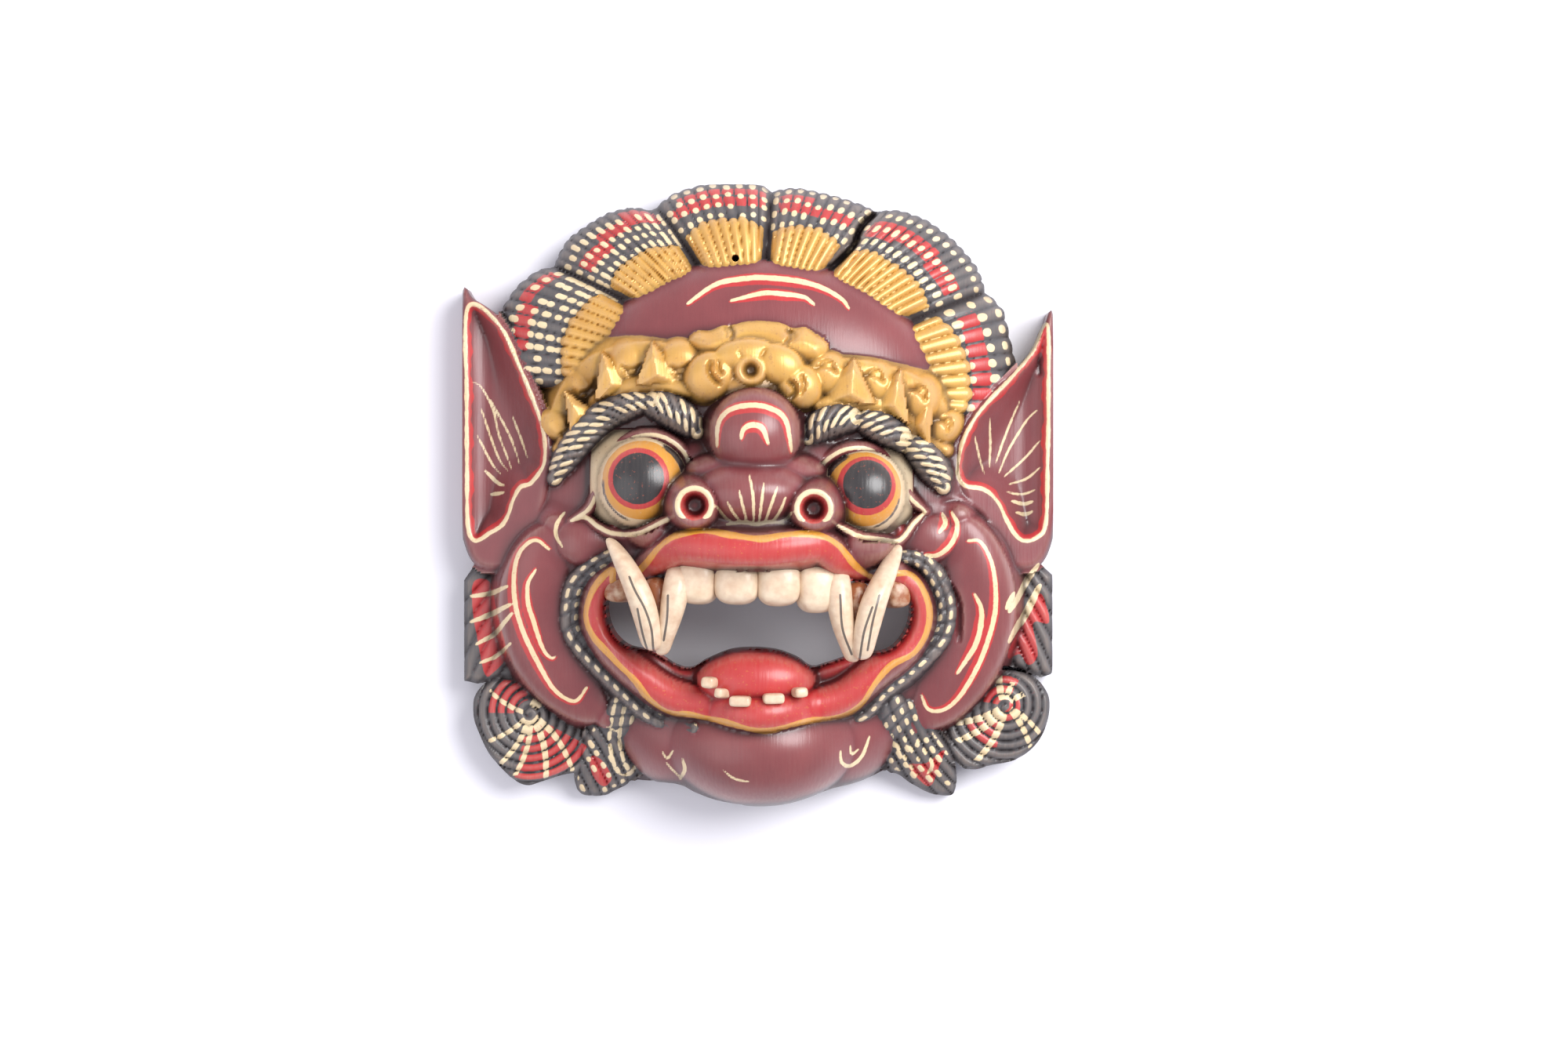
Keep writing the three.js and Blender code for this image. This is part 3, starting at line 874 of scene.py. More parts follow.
@dataclass
class Head:
    """The domes of the face and its soft parts."""

    jaw: list[Point]
    pads: tuple[tuple[Dome, float], ...] = (
        (Dome(0, -106, 66, 34, 8, 44), 10),
        (Dome(-46, -15, 15, 10, 62, 16, -25), 4),
        (Dome(46, -22, 15, 11, 62, 18, 20), 4),
        (Dome(-77, -21, 12, 11, 44, 8), 7),
        (Dome(76, -20, 12, 11, 44, 8), 7),
        (Dome(0, 10, 44, 20, 50, 22), 8),
    )
    cheeks: tuple[list[Point], ...] = (
        [(-90, -14), (-97, -30), (-99, -50), (-93, -72), (-80, -90), (-68, -100)],
        [(90, -10), (97, -30), (98, -52), (92, -74), (82, -92), (70, -104)],
    )

    def carve(self, carving: Carving) -> None:
        """Carves the face.

        Args:
            carving: The carving.
        """
        edge = Run(self.jaw, closed=True).inside(carving.x, carving.y)
        for dome, soft in ((FACE, 0), (FOREHEAD, 2), (MUZZLE, 12), (CHIN, 16)):
            height = dome.height(carving.x, carving.y)
            carving.add(np.where(edge > -4, height, -FAR), None, soft)
        carving.keep(edge)
        for cheek in self.cheeks:
            Strand(cheek, 36, 26, 3, 0.5).carve(carving, None, 12)
        for pad, soft in self.pads:
            part = carving.near(pad.box(12))
            part.add(pad.height(part.x, part.y), None, soft)


@dataclass
class Diadem:
    """The gilt band over the brow: leaves and faceted points by turns over a rounded hem."""

    hem: list[Point]
    leaves: list[tuple[float, float, float, float, float]]
    points: list[tuple[Point, Point, Point]]
    lift: float = 3.5

    def carve(self, carving: Carving) -> None:
        """Carves the band.

        Args:
            carving: The carving.
        """
        Strand(self.hem, 9, 9, self.lift - 1, 0.15).carve(carving, Coat.GOLD, 1.0)
        band = [(leaf[0], leaf[1]) for leaf in self.leaves]
        Strand(band, 19, 10, self.lift - 2.5, 0.1).carve(carving, Coat.GOLD, 1.0)
        for x, y, rx, ry, turn in self.leaves:
            leaf = Dome(x, y, rx, ry, skin_at((x, y)) + self.lift, 4.0, turn)
            part = carving.near(leaf.box(3))
            q = leaf.reach(part.x, part.y)
            form = leaf.z + 4.0 * np.clip(1 - q**3, -4, 1)
            part.add(form, Coat.GOLD, 0.5)
            a = radians(turn)
            hand = self._hand()
            for shift, long in ((1.2, 0.62), (3.4, 0.4)):
                cut = []
                for t in (-1, -0.3, 0.4, 1):
                    side, bow = long * t * ry, 2 * (1 - t * t)
                    left = x + shift * cos(a) * hand - side * sin(a) + bow * cos(a) * hand
                    up = y + shift * sin(a) * hand + side * cos(a) + bow * sin(a) * hand
                    cut.append((left, up))
                carving.groove(cut, 1.5, 1.9)
        for apex, left, right in self.points:
            facet = Run([apex, left, right], closed=True, smooth=False)
            part = carving.near(facet.box(2))
            inside = facet.inside(part.x, part.y)
            middle = ((left[0] + right[0]) / 2, (left[1] + right[1]) / 2)
            ridge = Run([apex, middle], smooth=False)
            gap, _ = ridge.measure(part.x, part.y)
            base = skin_at(middle) + self.lift + 4.0
            form = base + np.minimum(4.2 - 0.55 * np.abs(gap), 1 + inside * 1.2)
            part.add(np.where(inside > -0.5, form, -FAR), Coat.GOLD, 0.3)

    def _hand(self) -> int:
        """The side that the band runs to."""
        return 1 if self.hem[-1][0] > 0 else -1


@dataclass
class Boss:
    """The gilt flower in the middle of the diadem."""

    ground: list[Point]
    crown: list[Point]
    lobes: tuple[Dome, ...] = (
        Dome(-19.5, 51.5, 12, 10.5, 69, 7.5, 20),
        Dome(-5, 60, 14, 7.5, 70, 6.5, 5),
        Dome(9, 56, 12, 9, 70, 7, -20),
        Dome(18, 47, 11, 10, 68, 8, -30),
        Dome(-4, 47, 12, 6, 70, 5),
    )
    cuts: tuple[tuple[list[Point], float, float], ...] = (
        ([(-20, 58), (-20.5, 53), (-18, 49), (-15, 47)], 2.2, 3),
        ([(-17, 58.5), (-16.5, 54), (-14.5, 51)], 1.6, 2),
        ([(13, 49), (16, 47), (16.6, 43.5), (14, 41)], 2.2, 3),
        ([(19, 52), (20.5, 47), (18.5, 42)], 1.6, 2),
        ([(-12.6, 73.6), (-10.4, 70), (-11.6, 66.5)], 1.6, 2.4),
        ([(-14.6, 73), (-13, 70), (-14, 67.4)], 1.2, 1.6),
        ([(12.6, 72.4), (14.6, 69), (12.6, 65)], 1.6, 2.4),
        ([(14.8, 71.6), (16.6, 69), (15, 66)], 1.2, 1.6),
        ([(-8, 62), (-6, 58.6)], 1.2, 1.2),
        ([(4, 63), (2, 59)], 1.2, 1.2),
    )

    def carve(self, carving: Carving) -> None:
        """Carves the flower.

        Args:
            carving: The carving.
        """
        for outline, height in ((self.crown, 68.5), (self.ground, 70)):
            run = Run(outline, closed=True)
            part = carving.near(run.box(3))
            inside = run.inside(part.x, part.y)
            form = height - 5 + 6.5 * np.sqrt(np.clip(inside / 6, 0, 1))
            if outline is self.crown:
                form -= np.clip((part.y - 66) / 10, 0, 1) * 5
            part.add(np.where(inside > -0.6, form, -FAR), Coat.GOLD, 0.3)
        for lobe in self.lobes:
            part = carving.near(lobe.box(3))
            part.add(lobe.height(part.x, part.y, 3), Coat.GOLD, 0.6)
        for points, width, depth in self.cuts:
            carving.groove(points, width, depth)
        part = carving.near((-13, 43, 8, 64))
        r = np.hypot(part.x + 2.7, part.y - 53.5)
        part.add(75.4 + 1.4 * arch((r - 5.0) / 1.7), Coat.GOLD, 0.6)
        part.cut(np.where(r < 4.4, 71.5 + np.clip(r - 1.8, 0, None) * 2.6, FAR * 3), 0.8)


@dataclass
class Brow:
    """A brow of overlapping ropes, cut by slanting grooves and dabbed in two rows."""

    ropes: list[list[Point]]
    width: float = 14.0
    lean: float = 0.055

    def carve(self, carving: Carving) -> None:
        """Carves the brow and paints its dabs.

        Args:
            carving: The carving.
        """
        for number, points in enumerate(self.ropes):
            run = Run(points)
            part = carving.near(run.box(14))
            form, gap, along = Strand(points, self.width, 17, 3, 0.3).form(part, run)
            hand = 1 if points[0][0] > 0 else -1
            lobes = max(3, round(run.length / 4.6))
            turn = along * lobes - gap * hand * self.lean * 4
            index = np.floor(turn)
            within = np.abs(turn - index - 0.5)
            wave = np.sqrt(np.clip(1 - (2 * within) ** 2, 0, 1))
            part.add(form + 2.4 * (wave - 0.7), Coat.HAIR, 0.3)
            wide = run.length / lobes
            for row, centre in enumerate((3.4, -1.6)):
                drawn = scattered(index, index * 0 + row, number + self.width)
                away = gap * hand - centre - 1.2 * (drawn - 0.5)
                dab = slab(away, within * wide, 1.9 + 0.5 * drawn, 0.28 * wide + 0 * drawn)
                dab = np.where(drawn > 0.12, dab, -FAR)
                part.brush(Coat.CREAM, np.minimum(dab, part.coats[Coat.HAIR]))


@dataclass
class Eye:
    """A bulging eyeball in its lids, with its painted rings.

    Each ring is (centre x, centre y, radius), from the yellow one in to the pupil.
    """

    ball: Dome
    rings: tuple[tuple[float, float, float], ...]
    upper: list[Point]
    lower: list[Point]
    arcs: tuple[tuple[float, float, float, float], ...]

    def carve(self, carving: Carving) -> None:
        """Carves lids and eyeball, and paints the iris.

        Args:
            carving: The carving.
        """
        socket = Run([*self.upper, *self.lower[::-1][1:-1]], closed=True)
        part = carving.near(socket.box(8))
        inside = socket.inside(part.x, part.y)
        part.cut(np.where(inside > -1, 56 - 0.3 * np.clip(inside, 0, 8), FAR * 3), 3.0)
        part.brush(Coat.RED, inside - 0.5)
        for lid, lift, width in ((self.upper, 4.5, 6.5), (self.lower, 2.5, 5.0)):
            Strand(lid, width, 9, lift, 0.35).carve(carving, None, 2.5)
        carving.stroke(Coat.CREAM, self.upper, 1.8, 0.1)
        carving.stroke(Coat.CREAM, self.lower, 2.0, 0.1)
        part = carving.near(self.ball.box(4))
        part.add(self.ball.height(part.x, part.y, 2), Coat.IVORY, 0.4)
        on = part.coats[Coat.IVORY]
        for coat, (x, y, radius) in zip((Coat.YELLOW, Coat.RED, Coat.INK), self.rings):
            part.brush(coat, np.minimum(radius - np.hypot(part.x - x, part.y - y), on))
        dx, dy = part.x - self.ball.x, part.y - self.ball.y
        r, degree = np.hypot(dx, dy), np.degrees(np.arctan2(dy, dx)) % 360
        for radius, width, first, last in self.arcs:
            span = np.minimum(degree - first, last - degree) * np.radians(r) * 0.25
            part.brush(Coat.INK, np.minimum(width / 2 - np.abs(r - radius), span))


@dataclass
class Nose:
    """The broad nose with a ringed nostril on either side."""

    forms: tuple[tuple[Dome, float], ...] = (
        (Dome(-2, 0, 26, 14, 74, 21), 4),
        (Dome(-1, 8, 32, 13, 62, 24), 5),
        (Dome(-26.6, -5.3, 11, 10.5, 74, 18), 3),
        (Dome(24.6, -6.7, 10.5, 10, 74, 18), 3),
    )
    ring: float = 7.3
    hole: float = 6.1

    def carve(self, carving: Carving) -> None:
        """Carves the nose and its nostrils.

        Args:
            carving: The carving.
        """
        for form, soft in self.forms:
            part = carving.near(form.box(6))
            part.add(form.height(part.x, part.y, 2), None, soft)
        for nostril, _ in self.forms[2:]:
            part = carving.near(nostril.box(4))
            dx, dy = part.x - nostril.x, part.y - nostril.y
            r = np.hypot(dx, dy)
            part.add(91 + 2.4 * arch((r - self.ring) / 2.0), None, 1.2)
            pit = 83 + np.clip(r - 2.6, 0, None) ** 2 * 1.2
            part.cut(np.where(r < self.hole + 1.2, pit, FAR * 3), 1.0)
            gap = 1.15 - np.abs(r - self.ring) - np.clip((-dy - 5.2) * 1.6, 0, None)
            part.brush(Coat.CREAM, gap)
            part.brush(Coat.RED, self.hole + 0.4 - r)


@dataclass
class ThirdEye:
    """The round knob over the nose."""

    ball: Dome = Dome(-0.8, 26.2, 20, 20, 73, 19.5)

    def carve(self, carving: Carving) -> None:
        """Carves the knob."""
        part = carving.near(self.ball.box(4))
        part.add(self.ball.height(part.x, part.y, 3), None, 1.0)


@dataclass
class Lips:
    """The lips round the open mouth, with their yellow edge, and the tongue between them."""

    outer: list[Point]
    opening: list[Point]
    upper: list[Point]
    lower: list[Point]
    tongue: Dome = Dome(-0.6, -82, 26, 14.5, 52, 17)

    def carve(self, carving: Carving) -> None:
        """Carves the lips, opens the mouth and paints them.

        Args:
            carving: The carving.
        """
        Strand(self.upper, 15, 14, 4.5, 0.35).carve(carving, None, 3)
        Strand(self.lower, 15, 16, 7, 0.2).carve(carving, None, 3)
        part = carving.near(self.tongue.box(4))
        part.add(self.tongue.height(part.x, part.y, 3), None, 1.2)
        outer = Run(self.outer, closed=True)
        part = carving.near(outer.box(6))
        inside = outer.inside(part.x, part.y)
        part.z[:] += 0.8 * np.clip(1 - np.abs(inside - 1.6) / 1.8, 0, 1)
        part.brush(Coat.YELLOW, inside)
        part.brush(Coat.RED, inside - 2.7 - 0.4 * np.sin(part.x * 0.35))
        opening = Run(self.opening, closed=True)
        hole = opening.inside(part.x, part.y)
        part.z[:] -= 4 * (1 - np.clip(-hole / 4, 0, 1)) ** 2 * (hole < 0)
        carving.outline[:] = np.minimum(
            carving.outline, -opening.inside(carving.x, carving.y)
        )


@dataclass
class Plait:
    """A narrow plaited band of hair, dabbed along its two sides."""

    points: list[Point]
    width: float = 11.0
    pitch: float = 6.0
    lift: float = 2.5
    dabs: tuple[float, ...] = (-2.4, 2.4)
    size: Point = (3.4, 1.7)

    def carve(self, carving: Carving) -> None:
        """Carves and paints the band.

        Args:
            carving: The carving.
        """
        run = Run(self.points)
        part = carving.near(run.box(12))
        strand = Strand(self.points, self.width, 11, self.lift, 0.3)
        form, gap, along = strand.form(part, run)
        turn = along * run.length / self.pitch + gap * 0.06
        index = np.floor(turn)
        within = np.abs(turn - index - 0.5)
        cross = np.exp(-(((0.5 - within) * self.pitch / 0.8) ** 2))
        seam = 1.2 * np.exp(-((gap / 0.9) ** 2)) + 0.9 * cross
        part.add(form - seam, Coat.HAIR, 0.4)
        for row, centre in enumerate(self.dabs):
            drawn = scattered(index, index * 0 + row, self.points[0][0])
            dab = slab(within * self.pitch, gap - centre,
                self.size[0] / 2 * (0.7 + 0.5 * drawn), self.size[1] / 2 + 0 * drawn)
            dab = np.where(drawn > 0.1, dab, -FAR)
            part.brush(Coat.CREAM, np.minimum(dab, part.coats[Coat.HAIR] - 0.3))


@dataclass
class Brushwork:
    """Strokes and patches of paint laid over the finished carving."""

    strokes: list[tuple[list[Point], float, float]]
    patches: list[tuple[Coat, list[Point]]]
    cuts: list[tuple[list[Point], float, float]]

    def carve(self, carving: Carving) -> None:
        """Paints them, and cuts the cracks.

        Args:
            carving: The carving.
        """
        for coat, points in self.patches:
            carving.patch(coat, points)
        for points, width, glow in self.strokes:
            carving.stroke(Coat.CREAM, points, width, glow=glow)
        for points, width, depth in self.cuts:
            carving.groove(points, width, depth)


# ---- The sheet as a closed mesh -----------------------------------------------------------


@dataclass
class Shell:
    """Turns the carving into one closed mesh with a hollow back."""

    carving: Carving
    back_pitch: float = 3.2
    rows: int = 3

    def snap(self) -> None:
        """Moves the places nearest the outline onto it."""
        c = self.carving
        gy, gx = np.gradient(c.outline, c.pitch)
        size = np.maximum(gx**2 + gy**2, 0.2)
        close = np.abs(c.outline) < 0.52 * c.pitch
        c.x[:] -= np.where(close, c.outline * gx / size, 0)
        c.y[:] -= np.where(close, c.outline * gy / size, 0)
        c.outline[:] = np.where(close, 0, c.outline)

    def hollow(self) -> Array:
        """Height of the hollow back.

        Returns:
            Height of the back over the grid.
        """
        c = self.carving
        depth = np.full(c.x.shape, 0.0)
        for dome in (HOLLOW, MUZZLE_HOLLOW):
            depth = np.maximum(depth, dome.height(c.x, c.y))
        gouge = 0.35 * np.sin(c.x * 0.7 + 2 * np.sin(c.y * 0.09)) * np.sin(c.y * 0.22)
        depth = np.where(depth > 1, depth + gouge, depth)
        return np.clip(np.minimum(depth, c.z - WALL_MIN), 0, None)

    def build(self, name: str, places: "Bench") -> bpy.types.Object:
        """Builds the closed mesh.

        Args:
            name: Its name.
            places: Turns the carver's millimetres into the scene's metres.

        Returns:
            The object, with its paints as attributes.
        """
        c = self.carving
        kind = np.sign(c.outline).astype(int)
        ny, nx = kind.shape
        ids = np.arange(ny * nx).reshape(ny, nx)
        quad = [kind[:-1, :-1], kind[:-1, 1:], kind[1:, 1:], kind[1:, :-1]]
        corner = [ids[:-1, :-1], ids[:-1, 1:], ids[1:, 1:], ids[1:, :-1]]
        out = sum((k < 0).astype(int) for k in quad)
        some = sum((k > 0).astype(int) for k in quad) > 0
        tris = []
        whole = (out == 0) & some
        for a, b, d in ((0, 1, 2), (0, 2, 3)):
            keep = whole & (quad[a] + quad[b] + quad[d] > 0)
            tris.append(np.column_stack([corner[k][keep] for k in (a, b, d)]))
        for missing in range(4):
            a, b, d = [k for k in range(4) if k != missing]
            keep = (out == 1) & (quad[missing] < 0) & (quad[a] + quad[b] + quad[d] > 0)
            tris.append(np.column_stack([corner[k][keep] for k in (a, b, d)]))
        front = self._largest(np.vstack(tris))
        edges = self._border(front)
        used = np.unique(front)
        index = np.full(ny * nx, -1)
        index[used] = np.arange(len(used))
        x, y = c.x.ravel(), c.y.ravel()
        edge_ids = np.unique(edges)
        z_front = c.z.ravel()
        z_back = self.hollow().ravel()
        place = [np.column_stack([x[used], y[used], z_front[used]])]
        ring = {int(v): k for k, v in enumerate(edge_ids)}
        levels = []
        total = len(used)
        for row in range(1, self.rows + 1):
            t = row / self.rows
            z = z_front[edge_ids] * (1 - t) + z_back[edge_ids] * t
            place.append(np.column_stack([x[edge_ids], y[edge_ids], z]))
            levels.append(total)
            total += len(edge_ids)
        faces = [index[front]]
        a = index[edges[:, 0]]
        b = index[edges[:, 1]]
        ra = np.array([ring[int(v)] for v in edges[:, 0]])
        rb = np.array([ring[int(v)] for v in edges[:, 1]])
        for start in levels:
            a2, b2 = start + ra, start + rb
            faces.append(np.column_stack([b, a, a2]))
            faces.append(np.column_stack([b, a2, b2]))
            a, b = a2, b2
        inner, back = self._back(edge_ids, ra, rb, z_back)
        extra = place_back = inner
        place.append(place_back)
        lookup = np.concatenate(
            [levels[-1] + np.arange(len(edge_ids)), total + np.arange(len(extra))]
        )
        faces.append(lookup[back][:, ::-1])
        points = np.vstack(place)
        triangles = np.vstack(faces)
        mesh = bpy.data.meshes.new(name)
        mesh.from_pydata(places.metres(points), [], triangles.tolist())
        mesh.validate()
        for coat, layer in c.coats.items():
            self._attribute(mesh, coat.value, layer, used, edge_ids, len(extra))
        # Depth below the surroundings is stored as cavity, which the paint turns into painted
        # shade in the hollows; height above is stored as worn, for the rubbed edges.
        cavity, worn = self._hollows_and_edges()
        self._attribute(mesh, "cavity", cavity, used, edge_ids, len(extra))
        self._attribute(mesh, "worn", worn, used, edge_ids, len(extra))
        piece = bpy.data.objects.new(name, mesh)
        bpy.context.scene.collection.objects.link(piece)
        count = len(triangles)
        slots = np.zeros(count, np.int32)
        slots[count - len(back) :] = 1
        piece["back_from"] = int(count - len(back))
        mesh.attributes.new("material_index", "INT", "FACE").data.foreach_set(
            "value", slots
        )
        return piece

    def _largest(self, tris: Array) -> Array:
        """The triangles that hang together with the greatest number of others.

        Args:
            tris: Triangles, one row of corners each.

        Returns:
            Which triangles to keep.
        """
        label = np.arange(self.carving.x.size)
        while True:
            low = label[tris].min(1)
            before = label.copy()
            for k in range(3):
                np.minimum.at(label, tris[:, k], low)
            label = label[label]
            if (label == before).all():
                break
        names, counts = np.unique(label[tris[:, 0]], return_counts=True)
        return tris[label[tris[:, 0]] == names[counts.argmax()]]

    def _border(self, tris: Array) -> Array:
        """The edges that belong to one triangle, turned as that triangle has them.

        Args:
            tris: Triangles, one row of corners each.

        Returns:
            Its border edges, one row each.
        """
        edges = np.vstack([tris[:, [0, 1]], tris[:, [1, 2]], tris[:, [2, 0]]])
        size = self.carving.x.size
        keys = edges[:, 0] * size + edges[:, 1]
        other = edges[:, 1] * size + edges[:, 0]
        return edges[~np.isin(keys, other)]

    def _back(
        self, edge_ids: Array, ra: Array, rb: Array, z_back: Array
    ) -> tuple[Array, Array]:
        """A coarser sheet behind, which shares the outline's places.

        Args:
            edge_ids: The places on the outline.
            ra: Where each edge starts, in that list.
            rb: Where it ends.
            z_back: Heights of the hollow.

        Returns:
            The extra places, and triangles of outline and extra places.
        """
        c = self.carving
        step = max(1, round(self.back_pitch / c.pitch))
        offset = step // 2
        deep = c.outline > 1.6
        pick = np.zeros(c.x.shape, bool)
        pick[offset::step, offset::step] = True
        pick &= deep
        inner = np.column_stack([c.x[pick], c.y[pick], z_back.reshape(c.x.shape)[pick]])
        x, y = c.x.ravel(), c.y.ravel()
        rim = np.column_stack([x[edge_ids], y[edge_ids]])
        spots = [Vector(p) for p in np.vstack([rim, inner[:, :2]])]
        made = delaunay_2d_cdt(
            spots, [(int(a), int(b)) for a, b in zip(ra, rb)], [], 0, 1e-5
        )
        verts, _, faces, origin = made[0], made[1], made[2], made[3]
        source = [o[0] for o in origin]
        tris = np.array([[source[v] for v in f] for f in faces])
        centre = np.array([[sum(verts[v][k] for v in f) / 3 for k in (0, 1)] for f in faces])
        value = self._look_up(centre)
        pairs = set(zip(ra.tolist(), rb.tolist()))
        keep = value > 0.02
        # A triangle that touches the outline is kept by the side of the outline it lies on.
        for n, f in enumerate(tris):
            for k in range(3):
                u, v = int(f[k]), int(f[(k + 1) % 3])
                if (u, v) in pairs:
                    keep[n] = True
                elif (v, u) in pairs:
                    keep[n] = False
        return inner, tris[keep]

    def _look_up(self, spots: Array) -> Array:
        """The outline's distance at any places.

        Args:
            spots: Places, one row each.

        Returns:
            The outline's distance there.
        """
        c = self.carving
        i = (spots[:, 0] - c.x[0, 0]) / c.pitch
        j = (spots[:, 1] - c.y[0, 0]) / c.pitch
        i0 = np.clip(i.astype(int), 0, c.x.shape[1] - 2)
        j0 = np.clip(j.astype(int), 0, c.x.shape[0] - 2)
        fi, fj = i - i0, j - j0
        o = c.outline
        return (
            o[j0, i0] * (1 - fi) * (1 - fj)
            + o[j0, i0 + 1] * fi * (1 - fj)
            + o[j0 + 1, i0] * (1 - fi) * fj
            + o[j0 + 1, i0 + 1] * fi * fj
        )

    def _hollows_and_edges(self) -> tuple[Array, Array]:
        """How far each place lies below its surroundings, and above them.

        Returns:
            Depth below and height above, over the grid.
        """
        c = self.carving
        z = np.where(c.outline >= 0, c.z, np.nan)
        near = blurred(z, max(1, round(1.7 / c.pitch)))
        wide = blurred(z, max(1, round(5 / c.pitch)))
        low = np.clip((near - c.z) / 0.9, 0, 1) * 0.6 + np.clip((wide - c.z) / 4, 0, 1)
        high = np.clip((c.z - near) / 0.8, 0, 1)
        return np.nan_to_num(low), np.nan_to_num(high)

    def _attribute(
        self,
        mesh: bpy.types.Mesh,
        name: str,
        layer: Array,
        used: Array,
        edge_ids: Array,
        extra: int,
    ) -> None:
        """Stores a layer on the mesh's points.

        Args:
            mesh: The mesh.
            name: The attribute's name.
            layer: Values over the sheet.
            used: Places of the front.
            edge_ids: Places of the outline.
            extra: Number of places of the back.
        """
        flat = layer.ravel()
        values = np.concatenate(
            [flat[used], *([flat[edge_ids]] * self.rows), np.zeros(extra)]
        )
        mesh.attributes.new(name, "FLOAT", "POINT").data.foreach_set(
            "value", np.clip(values, -20, 20).astype(np.float32)
        )


def blurred(values: Array, reach: int) -> Array:
    """Running mean of a sheet, twice over, leaving out places that are not part of it.

    Args:
        values: The sheet.
        reach: Half the width of the mean.

    Returns:
        The blurred sheet.
    """
    weight = (~np.isnan(values)).astype(float)
    total = np.nan_to_num(values)
    for _ in range(2):
        for axis in (0, 1):
            total = _running(total, reach, axis)
            weight = _running(weight, reach, axis)
    return total / np.maximum(weight, 1e-6)


def _running(values: Array, reach: int, axis: int) -> Array:
    """Running sum along one axis.

    Args:
        values: The grid of values.
        reach: How many cells to each side.
        axis: Which way to run.

    Returns:
        The averaged grid.
    """
    pad = [(0, 0), (0, 0)]
    pad[axis] = (reach + 1, reach)
    total = np.cumsum(np.pad(values, pad), axis=axis)
    width = 2 * reach + 1
    head = np.take(total, range(width, total.shape[axis]), axis=axis)
    tail = np.take(total, range(0, total.shape[axis] - width), axis=axis)
    return head - tail


@dataclass
class Bench:
    """Puts the carver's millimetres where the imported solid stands."""

    low: Vector
    high: Vector

    def metres(self, points: Array) -> list[list[float]]:
        """Turns places in millimetres into the scene's metres.

        Args:
            points: Places, one row each.

        Returns:
            The places in metres, kept inside the solid's box.
        """
        middle = (self.low + self.high) / 2
        moved = points * MM + np.array([middle.x, 0.0, self.low.z])
        low = np.array([self.low.x, self.low.y, self.low.z])
        high = np.array([self.high.x, self.high.y, self.high.z + 0.002])
        return np.clip(moved, low, high).tolist()


# ---- Finishes -----------------------------------------------------------------------------

Colour = tuple[float, float, float]


def paint(red: int, green: int, blue: int) -> tuple[float, float, float, float]:
    """A screen colour as the linear colour that a shader takes.

    Args:
        red: Red, 0 to 255.
        green: Green, 0 to 255.
        blue: Blue, 0 to 255.

    Returns:
        The colour in linear light.
    """
    def linear(v: int) -> float:
        """One channel."""
        s = v / 255
        return s / 12.92 if s <= 0.04045 else ((s + 0.055) / 1.055) ** 2.4

    return linear(red), linear(green), linear(blue), 1.0


class Nodes:
    """Short ways to place and join shader nodes in one tree."""

    def __init__(self, tree: bpy.types.NodeTree) -> None:
        """Takes the tree."""
        self.tree = tree

    def add(self, kind: str, **values: object) -> bpy.types.Node:
        """Adds a node.

        Args:
            kind: Its type.
            values: Its settings.

        Returns:
            The node.
        """
        node = self.tree.nodes.new(kind)
        for key, value in values.items():
            setattr(node, key, value)
        return node

    def link(self, source: bpy.types.NodeSocket, target: bpy.types.NodeSocket) -> None:
        """Joins an output to an input."""
        self.tree.links.new(source, target)

    def math(
        self,
        operation: str,
        a: bpy.types.NodeSocket | float,
        b: bpy.types.NodeSocket | float = 0.0,
        clamp: bool = False,
    ) -> bpy.types.NodeSocket:
        """Adds a Math node.

        Args:
            operation: What it does.
            a: First value.
            b: Second value.
            clamp: Whether the result is kept in 0..1.

        Returns:
            Its result.
        """
        node = self.add("ShaderNodeMath", operation=operation, use_clamp=clamp)
        for socket, value in zip(node.inputs, (a, b)):
            if isinstance(value, (int, float)):
                socket.default_value = value
            else:
                self.link(value, socket)
        return node.outputs[0]

    def mix(
        self,
        share: bpy.types.NodeSocket | float,
        a: bpy.types.NodeSocket | tuple,
        b: bpy.types.NodeSocket | tuple,
        blend: str = "MIX",
    ) -> bpy.types.NodeSocket:
        """Adds a colour Mix node.

        Args:
            share: How much of the second colour.
            a: First colour.
            b: Second colour.
            blend: How they mix.

        Returns:
            The mixed colour.
        """
        node = self.add("ShaderNodeMix", data_type="RGBA", blend_type=blend)
        for socket, value in zip((node.inputs[0], node.inputs[6], node.inputs[7]), (share, a,
            b)):
            if isinstance(value, (int, float, tuple)):
                socket.default_value = value
            else:
                self.link(value, socket)
        return node.outputs[2]

    def noise(
        self,
        place: bpy.types.NodeSocket,
        scale: tuple[float, float, float],
        detail: float = 3.0,
    ) -> bpy.types.NodeSocket:
        """Adds noise with its own scale along each axis.

        Args:
            place: The coordinates.
            scale: Cells to a metre along x, y and z.
            detail: Octaves.

        Returns:
            The noise, 0..1.
        """
        mapping = self.add("ShaderNodeMapping")
        mapping.inputs["Scale"].default_value = scale
        self.link(place, mapping.inputs["Vector"])
        node = self.add("ShaderNodeTexNoise")
        node.inputs["Scale"].default_value = 1.0
        node.inputs["Detail"].default_value = detail
        self.link(mapping.outputs[0], node.inputs["Vector"])
        return node.outputs["Fac"]


